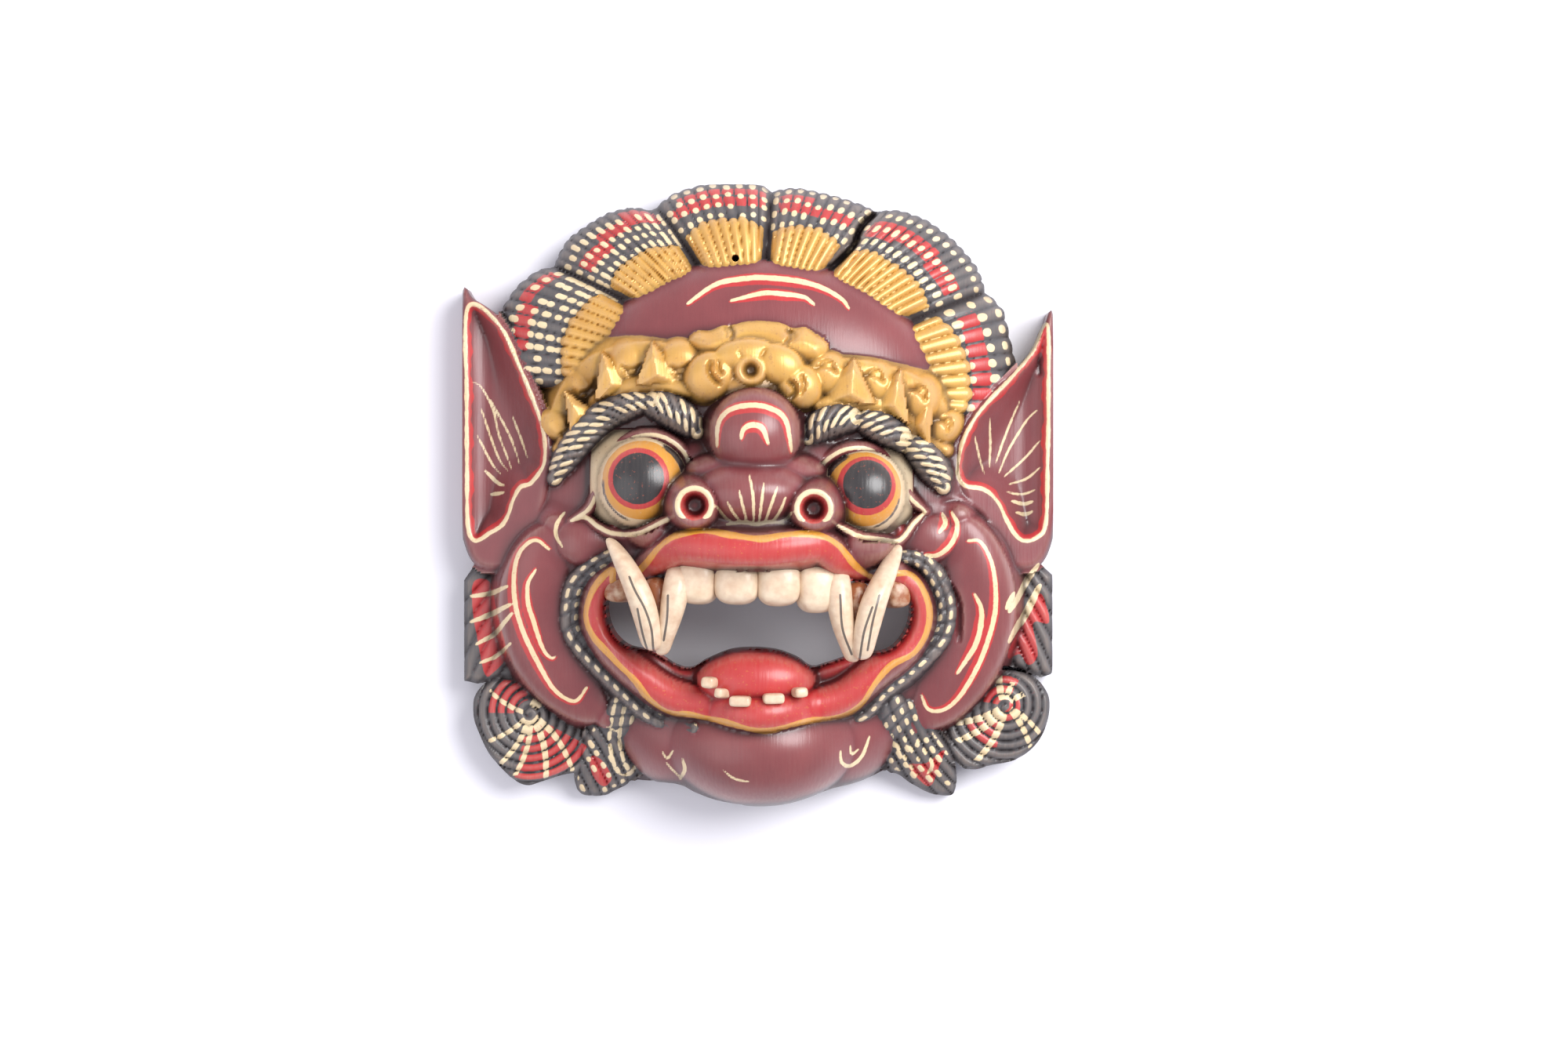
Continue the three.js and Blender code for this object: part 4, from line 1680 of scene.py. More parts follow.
class CoatGroup:
    """A layer of paint over what is under it: a mask with a ragged edge and worn places."""

    NAME = "coat_of_paint"
    INPUTS = (
        ("Under", "NodeSocketColor", None),
        ("Under Roughness", "NodeSocketFloat", 0.4),
        ("Under Metallic", "NodeSocketFloat", 0.0),
        ("Paint", "NodeSocketColor", None),
        ("Roughness", "NodeSocketFloat", 0.4),
        ("Metallic", "NodeSocketFloat", 0.0),
        ("Distance", "NodeSocketFloat", 0.0),
        ("Ragged", "NodeSocketFloat", 0.0),
        ("Softness", "NodeSocketFloat", 0.3),
        ("Wear", "NodeSocketFloat", 0.0),
    )

    @classmethod
    def tree(cls) -> bpy.types.NodeTree:
        """The group, built once.

        Returns:
            The node group.
        """
        made = bpy.data.node_groups.get(cls.NAME)
        if made:
            return made
        tree = bpy.data.node_groups.new(cls.NAME, "ShaderNodeTree")
        for name, kind, value in cls.INPUTS:
            socket = tree.interface.new_socket(name, in_out="INPUT", socket_type=kind)
            if value is not None:
                socket.default_value = value
        for name, kind in (
            ("Colour", "NodeSocketColor"),
            ("Roughness", "NodeSocketFloat"),
            ("Metallic", "NodeSocketFloat"),
            ("Mask", "NodeSocketFloat"),
        ):
            tree.interface.new_socket(name, in_out="OUTPUT", socket_type=kind)
        nodes = Nodes(tree)
        start = nodes.add("NodeGroupInput").outputs
        end = nodes.add("NodeGroupOutput").inputs
        edge = nodes.math("ADD", start["Distance"], start["Ragged"])
        mask = nodes.math("DIVIDE", edge, start["Softness"])
        mask = nodes.math("ADD", mask, 0.5, clamp=True)
        kept = nodes.math("SUBTRACT", 1.0, start["Wear"], clamp=True)
        mask = nodes.math("MULTIPLY", mask, kept)
        nodes.link(nodes.mix(mask, start["Under"], start["Paint"]), end["Colour"])
        for name, index in (("Roughness", 1), ("Metallic", 2)):
            change = nodes.math("SUBTRACT", start[name], start["Under " + name])
            change = nodes.math("MULTIPLY", change, mask)
            nodes.link(nodes.math("ADD", change, start["Under " + name]), end[name])
        nodes.link(mask, end["Mask"])
        return tree


@dataclass(frozen=True)
class Tin:
    """One paint out of its tin."""

    coat: Coat
    colour: tuple[float, float, float, float]
    shade: tuple[float, float, float, float]
    roughness: float
    metallic: float = 0.0
    ragged: float = 0.25


@dataclass(frozen=True)
class PaintedWood:
    """Hand-painted and varnished softwood, worn at its edges, with painted shade darkening its
    hollows.
    """

    name: str = "painted_wood"
    ground: tuple[float, float, float, float] = paint(134, 64, 66)
    ground_shade: tuple[float, float, float, float] = paint(106, 48, 52)
    tins: tuple[Tin, ...] = (
        Tin(Coat.HAIR, paint(62, 62, 66), paint(88, 84, 84), 0.55),
        Tin(Coat.GOLD, paint(228, 182, 92), paint(184, 128, 58), 0.4, 0.3, 0.5),
        Tin(Coat.IVORY, paint(236, 222, 192), paint(196, 160, 112), 0.42),
        Tin(Coat.YELLOW, paint(222, 162, 52), paint(190, 120, 40), 0.42),
        Tin(Coat.RED, paint(196, 50, 50), paint(160, 36, 40), 0.38),
        Tin(Coat.INK, paint(24, 24, 28), paint(38, 38, 42), 0.3),
        Tin(Coat.CREAM, paint(236, 220, 184), paint(210, 180, 130), 0.45, 0.0, 0.3),
    )

    def make(self) -> bpy.types.Material:
        """Builds the material.

        Returns:
            The material.
        """
        material = bpy.data.materials.new(self.name)
        material.use_nodes = True
        tree = material.node_tree
        tree.nodes.clear()
        nodes = Nodes(tree)
        place = nodes.add("ShaderNodeTexCoord").outputs["Object"]
        tone = nodes.noise(place, (60, 60, 60), 4)
        grain = nodes.noise(place, (900, 45, 300), 3)
        fleck = nodes.noise(place, (700, 700, 700), 2)
        edge_noise = nodes.math("SUBTRACT", nodes.noise(place, (420, 420, 420), 2), 0.5)
        colour = nodes.mix(tone, self.ground_shade, self.ground)
        rough: bpy.types.NodeSocket | float = 0.36
        metal: bpy.types.NodeSocket | float = 0.0
        group = CoatGroup.tree()
        wear_noise = nodes.math("GREATER_THAN", fleck, 0.66)
        for tin in self.tins:
            step = nodes.add("ShaderNodeGroup", node_tree=group)
            attribute = nodes.add("ShaderNodeAttribute", attribute_name=tin.coat.value)
            nodes.link(attribute.outputs["Fac"], step.inputs["Distance"])
            nodes.link(colour, step.inputs["Under"])
            for value, name in ((rough, "Under Roughness"), (metal, "Under Metallic")):
                if isinstance(value, float):
                    step.inputs[name].default_value = value
                else:
                    nodes.link(value, step.inputs[name])
            nodes.link(nodes.mix(tone, tin.shade, tin.colour), step.inputs["Paint"])
            step.inputs["Roughness"].default_value = tin.roughness
            step.inputs["Metallic"].default_value = tin.metallic
            nodes.link(
                nodes.math("MULTIPLY", edge_noise, tin.ragged * 2), step.inputs["Ragged"]
            )
            step.inputs["Softness"].default_value = 0.35
            nodes.link(nodes.math("MULTIPLY", wear_noise, 0.25), step.inputs["Wear"])
            colour = step.outputs["Colour"]
            rough = step.outputs["Roughness"]
            metal = step.outputs["Metallic"]
        cavity = nodes.add("ShaderNodeAttribute", attribute_name="cavity").outputs["Fac"]
        worn = nodes.add("ShaderNodeAttribute", attribute_name="worn").outputs["Fac"]
        # Painted shade: the deeper a place lies below its surroundings, the more its colour is
        # darkened towards a deep brown-red.
        painted_shade = nodes.math("MULTIPLY", cavity, 0.55, clamp=True)
        colour = nodes.mix(painted_shade, colour, paint(34, 20, 20))
        rub = nodes.math("MULTIPLY", worn, nodes.math("MULTIPLY", grain, 0.35), clamp=True)
        colour = nodes.mix(rub, colour, paint(190, 168, 150))
        bsdf = nodes.add("ShaderNodeBsdfPrincipled")
        nodes.link(colour, bsdf.inputs["Base Color"])
        nodes.link(rough, bsdf.inputs["Roughness"])
        nodes.link(metal, bsdf.inputs["Metallic"])
        bsdf.inputs["Coat Weight"].default_value = 0.25
        bsdf.inputs["Coat Roughness"].default_value = 0.25
        bump = nodes.add("ShaderNodeBump")
        bump.inputs["Strength"].default_value = 0.25
        bump.inputs["Distance"].default_value = 0.0005
        nodes.link(nodes.math("ADD", grain, tone), bump.inputs["Height"])
        nodes.link(bump.outputs["Normal"], bsdf.inputs["Normal"])
        end = nodes.add("ShaderNodeOutputMaterial")
        nodes.link(bsdf.outputs[0], end.inputs["Surface"])
        return material


@dataclass(frozen=True)
class BareWood:
    """The gouged and stained wood of the hollow back."""

    name: str = "bare_wood"

    def make(self) -> bpy.types.Material:
        """Builds the material.

        Returns:
            The material.
        """
        material = bpy.data.materials.new(self.name)
        material.use_nodes = True
        nodes = Nodes(material.node_tree)
        place = nodes.add("ShaderNodeTexCoord").outputs["Object"]
        grain = nodes.noise(place, (500, 18, 200), 4)
        stain = nodes.noise(place, (22, 22, 22), 3)
        colour = nodes.mix(grain, paint(96, 66, 44), paint(158, 120, 82))
        colour = nodes.mix(nodes.math("MULTIPLY", stain, 0.5), colour, paint(60, 40, 32))
        bsdf = material.node_tree.nodes["Principled BSDF"]
        nodes.link(colour, bsdf.inputs["Base Color"])
        bsdf.inputs["Roughness"].default_value = 0.75
        bump = nodes.add("ShaderNodeBump")
        bump.inputs["Strength"].default_value = 0.5
        bump.inputs["Distance"].default_value = 0.0008
        nodes.link(grain, bump.inputs["Height"])
        nodes.link(bump.outputs["Normal"], bsdf.inputs["Normal"])
        return material


# ---- The mask -----------------------------------------------------------------------------


@dataclass
class Mask:
    """The carved block with all its forms."""

    pitch: float = 0.85

    def carve(self) -> Carving:
        """Carves every form in order.

        Returns:
            The carving.
        """
        sheet = Carving.blank(HALF_WIDTH, HALF_HEIGHT, self.pitch)
        forms = self.forms()
        for form in forms:
            form.carve(sheet)
        Shell(sheet).snap()
        carving = sheet.uncarved()
        for form in forms:
            form.carve(carving)
        carving.outline[:] = sheet.outline
        return carving

    def forms(self) -> list:
        """The forms from the base outwards.

        Returns:
            The forms, in the order that they are carved.
        """
        jaw = [
            (-95, 62), (-108, 30), (-113, -15), (-113, -60), (-104, -95), (-88, -118),
            (-60, -129), (-36.8, -129.8), (-27.9, -133.8), (-18.9, -137.3), (-5.6, -139.4),
            (11.1, -138.7), (24.3, -135.2), (33.4, -132), (42.5, -130.3), (51.2, -127.9),
            (60, -124), (88, -114), (105, -92), (113, -60), (113, -15), (108, 30), (95, 58),
            (60, 90), (0, 100), (-60, 90),
        ]  # fmt: skip
        return [Crest(), Head(jaw), *self._hair(), *self._ears(), *self._middle(),
            self._strokes()]

    def _ears(self) -> list:
        """The two ears.

        Returns:
            The ears.
        """
        left_leaf = [
            (-133.4, 90.6), (-128, 88), (-116, 79), (-105, 58), (-95, 36), (-91, 22), (-92, 8),
            (-96, -10), (-108, -30), (-122, -34), (-131, -26), (-136, 0), (-137, 45),
        ]  # fmt: skip
        left_bowl = [
            (-130.4, 84), (-116, 76), (-106, 56), (-97.5, 35), (-94.9, 24.7), (-94.9, 14.3),
            (-97.5, 9.2), (-101.5, 4.6), (-106, 3.1), (-109.6, -3.2), (-111.5, -9),
            (-114.8, -14.2), (-119.9, -17.2), (-127, -21), (-130.4, -14), (-130.8, 10), (-131,
                45),
        ]  # fmt: skip
        right_leaf = [
            (133, 81.5), (129, 76), (123.4, 64.5), (113.5, 53.7), (105, 46), (96, 36), (90, 24),
            (89, 8), (96, -10), (108, -30), (122, -34), (131, -26), (136, 0), (137, 45),
        ]  # fmt: skip
        right_bowl = [
            (130.2, 76.5), (123, 63.5), (113.4, 52), (105, 43.4), (98, 35.3), (92, 24.9),
            (89.3, 14.5), (89.4, 7.4), (92.8, 3.6), (100.8, 2.1), (107.1, -3.2), (111.3, -11.3),
            (115, -17.6), (119.5, -21), (125.7, -19.3), (129.6, -12.5), (130.4, 14.5), (130.8,
                45),
        ]  # fmt: skip
        return [Ear(left_leaf, left_bowl), Ear(right_leaf, right_bowl)]

    def _hair(self) -> list:
        """Side locks, beard, curls and tufts.

        Returns:
            The locks, curls and bands of hair.
        """
        left_side = [
            (-98, -30), (-127.5, -31.4), (-132.7, -38.7), (-132.6, -84.1), (-126.4, -85.5),
            (-115.8, -83.1), (-101.6, -88.4), (-98, -62),
        ]  # fmt: skip
        right_side = [
            (98, -30), (127.7, -31.7), (133, -36.3), (133, -80.9), (127.7, -82.7),
            (118.8, -78.8), (107.1, -76.2), (98, -62),
        ]  # fmt: skip
        left_curl = [
            (-118, -83), (-127.1, -89.8), (-128.3, -99.7), (-125.4, -108.6), (-120.8, -117.8),
            (-114.4, -124.9), (-109.1, -129.5), (-103.7, -131.3), (-98.1, -129.8),
            (-88.1, -126.6), (-80, -124), (-76, -112), (-84, -94), (-98, -85),
        ]  # fmt: skip
        right_curl = [
            (122, -81), (130.2, -88.8), (131.6, -96.9), (129.5, -106.1), (124.2, -114.2),
            (116, -119.9), (106.1, -122), (97.2, -124.2), (90.8, -122), (84, -110), (90, -92),
            (104, -80),
        ]  # fmt: skip
        left_tuft = [
            (-82.5, -124), (-82.5, -132.3), (-79.3, -136.2), (-70.1, -136.6), (-64.8, -134.1),
            (-59.4, -131.3), (-56.6, -127.7), (-52, -123), (-52, -110), (-56, -96), (-66, -92),
            (-76, -106),
        ]  # fmt: skip
        right_tuft = [
            (58, -124), (63.5, -126.6), (69.9, -131.3), (79.1, -135.9), (87.3, -136.6),
            (89.2, -134.6), (90, -128.4), (88, -118), (80, -106), (70, -92), (58, -92), (52,
                -106),
        ]  # fmt: skip
        return [
            HairBoard(left_side, (-116, -58), Weave(52, 6.2, 1.6, 13, (5, 1.6), 0.0, 0.006),
                crisp=True),
            HairBoard(right_side, (116, -56), Weave(-58, 5.0, 2.4, 8, (5, 2.4), 0.0, 0.004),
                crisp=True),
            HairBoard(left_tuft, (-69, -118), Weave(-62, 4.6, 2.4, 5.6, (3.4, 2.2), 0.6,
                0.004), 20, 0.5, seed=3),
            HairBoard(right_tuft, (71, -116), Weave(-58, 4.6, 2.6, 5.6, (3.4, 2.2), 0.62,
                -0.006), 20, 0.5, seed=5),
            Curl(
                Side.LEFT, left_curl, -102.5, -98.5,
                [((-100, 30), 2.6), ((-82, 27), 2.6), ((-128, 22), 2.2), ((168, 20), 2.2),
                    ((-54, 36), 3.2), ((50, 12), 3), ((70, 14), 3), ((-30, 40), 3)],
                [(6, 19, 95, 235), (6, 30, -104, -30)],
            ),
            Curl(
                Side.RIGHT, right_curl, 111, -95,
                [((-95, 26), 3.2), ((-122, 25), 3.4), ((-142, 27), 3.4), ((-40, 26), 2.6),
                    ((-22, 24), 2.4), ((112, 16), 3.2), ((40, 10), 2.6), ((80, 11), 2.6)],
                [(3, 14, 60, 170), (5, 20, -160, -100), (2, 7, -90, 40)],
            ),
            Plait([(-57, -88), (-60, -98), (-62, -110), (-60, -122)], 17, 5.6, 0, (-4.5, 0,
                4.5), (5.0, 1.8)),
            Plait([(56, -87), (60, -98), (66, -110), (74, -122)], 17, 5.6, 0, (-4.5, 0, 4.5),
                (3.2, 1.8)),
        ]  # fmt: skip

    def _middle(self) -> list:
        """Diadem, brows, eyes, nose and mouth.

        Returns:
            The forms of the middle of the face.
        """
        return [
            Plait([(-62, -26), (-72, -32), (-80, -40), (-82.5, -50), (-82, -60), (-76, -69),
                (-67, -78), (-58, -87), (-50, -95), (-40, -101.5), (-28, -103.5)]),
            Plait([(62, -27), (73, -30), (80, -39), (83.5, -50), (81.5, -62), (74, -71), (65,
                -79), (55, -87), (48, -96), (40, -101)]),
            Diadem(
                [(-29, 45), (-40, 48), (-52, 48), (-62, 45), (-69.5, 41), (-74, 34.5), (-82,
                    28), (-88, 20)],
                [(-33.5, 57.5, 8.5, 9, 100), (-55, 57.6, 8.5, 9, 95), (-76, 49, 9, 8.5, 130),
                    (-87, 30, 9, 6.5, 150)],
                [((-45.7, 66.4), (-52.4, 48), (-34.6, 49)), ((-68.1, 61.9), (-71, 41.6),
                    (-55, 48.2)), ((-85.2, 45.2), (-82.6, 27.5), (-72.4, 36.5))],
            ),
            Diadem(
                [(27, 39), (39, 40.5), (51, 39), (59, 36), (66.3, 31), (71, 26), (76, 21.5),
                    (83, 19.5)],
                [(30, 52, 8.5, 9, 80), (50.6, 48.4, 8.5, 9, 75), (69.6, 42, 9, 8.5, 55), (81,
                    29, 9, 6.5, 40)],
                [((42.2, 58.9), (29.5, 41.6), (51.4, 39)), ((62.8, 54.3), (51.6, 39.6),
                    (66.3, 31)), ((77.2, 43.4), (66.2, 31.6), (76, 22))],
            ),
            Brow([[(-26, 27), (-32, 33), (-40, 38), (-50, 41)], [(-46, 41), (-57, 39),
                (-67, 35), (-76, 27), (-84, 17), (-90, 7)]]),
            Brow([[(22, 24), (28, 30), (36, 33), (46, 33)], [(44, 33), (53, 30), (61, 26),
                (67, 20)], [(66, 24), (73, 17), (79, 9), (82, 3)]]),
            Eye(
                Dome(-49.7, 4.6, 20, 20, 60, 18),
                ((-50.2, 5.8, 17.2), (-51.4, 6.4, 13.4), (-51.4, 6.4, 11.2)),
                [(-82.5, -12), (-74, -6.5), (-69, 4), (-64, 17), (-54, 24.5), (-42, 25), (-32,
                    18), (-28, 6)],
                [(-82.5, -12), (-76, -10.4), (-70, -14.5), (-63, -17.5), (-52, -17.5), (-42,
                    -13), (-31, -8)],
                ((17.4, 1.1, 176, 250), (18.4, 2.2, -4 % 360, 360), (18.4, 2.2, 0, 62)),
            ),
            Eye(
                Dome(46.3, 0.4, 18.8, 18.8, 60, 17.5),
                ((46.6, 1.8, 16.2), (47.6, 3.2, 12.8), (48, 3.9, 10.6)),
                [(74.3, -8), (67, -1.5), (62, 7), (56.5, 14.5), (48, 19.5), (38, 19), (29, 13),
                    (25, 4)],
                [(74.3, -8), (69, -13), (62.5, -20.5), (54, -20), (44, -18.5), (33, -13)],
                ((17.2, 2.4, 112, 182), (15.9, 0.9, 285, 350)),
            ),
            Boss(
                [(-30.8, 48), (-28.5, 56.5), (-22.2, 61.6), (-14, 63.5), (-7.5, 66.2), (2.8,
                    65.8), (13, 62.2), (19.8, 57.1), (25.5, 50.8), (27.4, 44), (25.5, 38.9),
                    (19.5, 38.5), (0, 40), (-20, 41)],
                [(-29.3, 66.3), (-26.5, 71), (-20.5, 71.6), (-15.4, 74.1), (-10.9, 74.6), (-4,
                    76.8), (4, 76.9), (11, 75.6), (15.8, 73), (21, 73.3), (25.5, 70.1), (29.4,
                    67.4), (31.2, 63.3), (29, 57), (19, 56), (0, 58), (-20, 58)],
            ),
            ThirdEye(),
            Nose(),
            Lips(
                [(-60.9, -38.9), (-50.7, -30.8), (-41.6, -21.3), (-32.5, -15.9), (-18, -15.3),
                    (-1.4, -18.2), (12, -16.8), (25, -16.3), (36, -21.5), (44.6, -31), (52,
                    -36), (58, -34), (66.5, -33.9), (72.7, -39), (77.2, -49.7), (76.2, -61.1),
                    (70, -70.7), (59.6, -76.9), (52.4, -84.8), (47.2, -93.4), (40, -98.9),
                    (28.7, -100.6), (15.6, -102.4), (4, -105.3), (-9.9, -102.4), (-27.4,
                    -98.9), (-38.1, -97.9), (-48.4, -91.7), (-55.7, -82), (-64.3, -73.4),
                    (-73.2, -63.8), (-76.6, -53.1), (-73, -41), (-66, -33), (-62, -33)],
                [(-66, -47), (-65, -59), (-58, -67), (-46, -70), (-36, -76), (-29, -77), (-22,
                    -73), (-10, -68.5), (6, -68.5), (17, -72), (24, -76.5), (31, -75), (44,
                    -71), (58, -69), (66, -60), (67, -48), (56, -41), (0, -34), (-56, -40)],
                [(-62, -40), (-50, -33), (-39, -26), (-28, -23), (0, -24.5), (25, -22.5), (36,
                    -29), (47, -36), (60, -40)],
                [(-60, -34), (-69, -42), (-71, -56), (-64, -69), (-52, -80), (-38, -89), (-20,
                    -93), (0, -96.5), (20, -94), (37, -90), (52, -79), (65, -69), (71.5, -56),
                    (69, -43), (61, -35)],
            ),
        ]  # fmt: skip

    def _strokes(self) -> Brushwork:
        """The loose strokes of the brush, and the old cracks.

        Returns:
            The strokes, patches and cuts.
        """
        wide, fine, thin = 2.5, 1.7, 1.1
        ears = [
            ([(-128.4, 50.4), (-124.9, 48.6), (-119.6, 38.7), (-116.4, 26), (-110.4, 10.8)],
                thin),
            ([(-120.7, 42.9), (-111.5, 26), (-106.9, 13.3)], thin),
            ([(-110.4, 35.2), (-106, 24), (-103.4, 16.4)], thin),
            ([(-124.9, 39), (-117.5, 17.9), (-112.2, 10.1)], thin),
            ([(-126.7, 27), (-120, 14), (-115.7, 9)], thin),
            ([(-123.1, 10.8), (-117, 5), (-113.9, 4.1)], fine),
            ([(-120.7, -0.2), (-117, 0.3), (-113.9, 0.9)], fine),
        ]
        other = [
            ([(126, 38), (121, 33), (113, 20), (108.5, 9.7)], thin),
            ([(118, 42), (112, 28), (107, 14)], thin),
            ([(104, 34), (104.5, 22), (104, 12)], thin),
            ([(97, 26), (99, 18), (101.5, 9)], thin),
            ([(127, 24), (120, 16), (111, 8)], thin),
            ([(127, 12), (121, 7), (113, 4.5)], thin),
            ([(125, 2), (119, 0), (112, 1)], thin),
            ([(124, -3.2), (120, -4.3), (114, -3)], fine),
            ([(124, -7.6), (120.5, -9), (116, -8)], fine),
        ]
        nose = [
            ([(x0, -13), (x1, y1), (x2, y2)], 1.25)
            for x0, x1, y1, x2, y2 in (
                (-10, -14, -10, -17.3, -5.3), (-6.5, -10, -8.5, -12.7, -3.4),
                (-4, -6, -5, -7.4, 1.2), (-1.2, -1.4, -2, -3, 7.6), (1, 2.2, -4, 3.3, 4.4),
                (3.5, 6.4, -5, 9, 2.6), (6.4, 10, -8, 12.5, -1.9), (9, 13, -11, 15.4, -8),
            )
        ]  # fmt: skip
        plain = [
            *ears, *other, *nose,
            ([(-13, -13.6), (-6, -12.6), (0, -13.4), (6, -12.4), (12, -13.2)], 1.8),
            ([(-85.5, -8), (-88.6, -13), (-89.2, -18), (-86.2, -23.5)], 1.8),
            ([(-63, -60), (-62.6, -61.4), (-59.4, -62)], 1.0),
            ([(-42.5, -114.3), (-40.1, -117.7), (-37.3, -113.6)], thin),
            ([(-40.8, -119.5), (-36, -125), (-33.9, -127.1)], thin),
            ([(-34.6, -127.4), (-32.2, -122.2), (-33.2, -117)], fine),
            ([(-15.1, -121.4), (-9.9, -125.2), (-3.7, -126.6)], thin),
            ([(41.2, -111.5), (41.9, -115.7), (45.1, -113.5)], thin),
            ([(36.7, -113.6), (37.4, -119), (41.2, -121.2), (46.4, -117), (49.9, -108)], fine),
            ([(-68, -104), (-62, -106.6)], 0.9),
        ]
        warm = [
            ([(-30.6, 83.6), (-18.5, 92.2), (-6.8, 94.7), (3.2, 95.3), (19.4, 93.6), (30.1,
                90.2), (37.3, 85.7), (40.4, 81.6)], wide),
            ([(-11.6, 84.7), (-4.7, 86.5), (3.2, 88.2), (11.1, 87.8), (20.4, 86.5), (25.2,
                83)], 2.2),
            ([(-17.2, 20.2), (-16.5, 29.9), (-11.8, 35.7), (-2.4, 37.7), (6.1, 36.3), (12.5,
                31.3), (15.2, 17.8)], 2.3),
            ([(-6.7, 23.1), (-5.7, 27.1), (-2.3, 29.1), (2.4, 27.8), (5.1, 21.1)], 2.3),
            ([(86, -8), (88.6, -14), (86.2, -21.5), (80, -27), (74, -27)], 2.2),
            ([(81.9, -8.5), (83.2, -13), (80.2, -17.2)], 2.2),
            ([(-92, -24.6), (-98.2, -20.5), (-104, -23.9), (-107.2, -30.2), (-108.2, -39.9),
                (-107.2, -50.6), (-103.7, -62.4), (-97.5, -75.5), (-91.3, -86.2), (-85.8, -91),
                (-80.6, -92.1), (-76.1, -86.2)], 2.2),
            ([(-98.2, -33.6), (-101.7, -39.9), (-101.7, -48.7), (-99.6, -56.1), (-95.5, -68.6),
                (-92, -72.9), (-89.9, -72.4)], 2.0),
            ([(93.1, -20.8), (98.7, -21.2), (103.7, -30.2), (105.7, -43.3), (104.9, -55.8),
                (99.4, -73.8), (90.7, -89.7), (83.4, -96.3), (76.5, -96.3), (73.1, -89.7)],
                2.2),
            ([(96.2, -44.4), (99, -50), (99.4, -56.4), (96.9, -67.1), (89, -80)], 2.4),
        ]
        left_bands = [
            ([(-129.5, -46), (-120, -44.5), (-111, -41)], 2.2),
            ([(-129.5, -57.5), (-120, -54), (-109.5, -49)], 2.4),
            ([(-126.8, -67.5), (-118, -62.5), (-109, -53)], 2.2),
            ([(-125.5, -76), (-118, -73), (-110, -66.5)], 1.8),
        ]
        right_bands = [
            ([(126.3, -31.5), (121, -39), (116.5, -46.5), (112, -52.5)], 3.0),
            ([(127, -41), (123.5, -48), (119.8, -55), (115.6, -60.5), (112.4, -66)], 3.6),
            ([(114.4, -44), (110.6, -51)], 2.6),
        ]
        return Brushwork(
            [(p, w, 0.0) for p, w in plain]
            + [(p, w, 1.5) for p, w in warm]
            + [(p, w, 0.0) for p, w in (*left_bands, *right_bands)],
            [
                (Coat.RED, [(-128, -39.5), (-120.6, -39.5), (-117, -52), (-112.5, -71), (-120,
                    -81), (-123, -81), (-126, -67), (-128.5, -52)]),
                (Coat.RED, [(126, -45), (130, -50), (131, -58), (124, -58), (126, -72), (122,
                    -77), (118, -72), (113, -74), (112.4, -70), (117, -62)]),
                (Coat.RED, [(-75, -118), (-70, -120), (-66, -128), (-70, -132), (-75, -126)]),
                (Coat.RED, [(68, -122), (76, -121), (84, -115), (82, -122), (78, -132), (72,
                    -128)]),
            ],
            [
                ([(53.6, 127), (48.2, 122.5), (45.3, 118), (43.7, 112.7), (40.6, 108.2), (35.3,
                    102.9), (31.4, 100.1)], 2.4, 11),
                ([(81.5, -3.5), (90.2, -3.5), (98.9, -8.7), (103.1, -13.9), (107.6, -20.9),
                    (110.4, -29.6)], 1.2, 1.2),
                ([(81.7, -37.4), (86.2, -41.9), (89.7, -50.6), (89.7, -66.5)], 1.8, 2.0),
                ([(126.6, 62), (127, 53.2)], 1.0, 1.5),
            ],
        )  # fmt: skip


# ---- Teeth and tusks ----------------------------------------------------------------------


@dataclass(frozen=True)
class Ivory:
    """Ivory paint with ink lines, browned where it is stained."""

    name: str = "ivory_paint"

    def make(self) -> bpy.types.Material:
        """Builds the material.

        Returns:
            The material.
        """
        material = bpy.data.materials.new(self.name)
        material.use_nodes = True
        nodes = Nodes(material.node_tree)
        place = nodes.add("ShaderNodeTexCoord").outputs["Object"]
        tone = nodes.noise(place, (120, 120, 120), 3)
        spots = nodes.noise(place, (260, 260, 260), 4)
        stain = nodes.add("ShaderNodeAttribute", attribute_name="stain").outputs["Fac"]
        ink = nodes.add("ShaderNodeAttribute", attribute_name="ink").outputs["Fac"]
        colour = nodes.mix(tone, paint(222, 198, 164), paint(248, 236, 212))
        brown = nodes.math("MULTIPLY", nodes.math("MULTIPLY", stain, spots), 1.7, clamp=True)
        colour = nodes.mix(brown, colour, paint(150, 88, 52))
        lines = nodes.math("GREATER_THAN", ink, 0.0)
        colour = nodes.mix(nodes.math("MULTIPLY", lines, 0.85), colour, paint(48, 44, 46))
        bsdf = material.node_tree.nodes["Principled BSDF"]
        nodes.link(colour, bsdf.inputs["Base Color"])
        bsdf.inputs["Roughness"].default_value = 0.4
        bsdf.inputs["Coat Weight"].default_value = 0.2
        return material


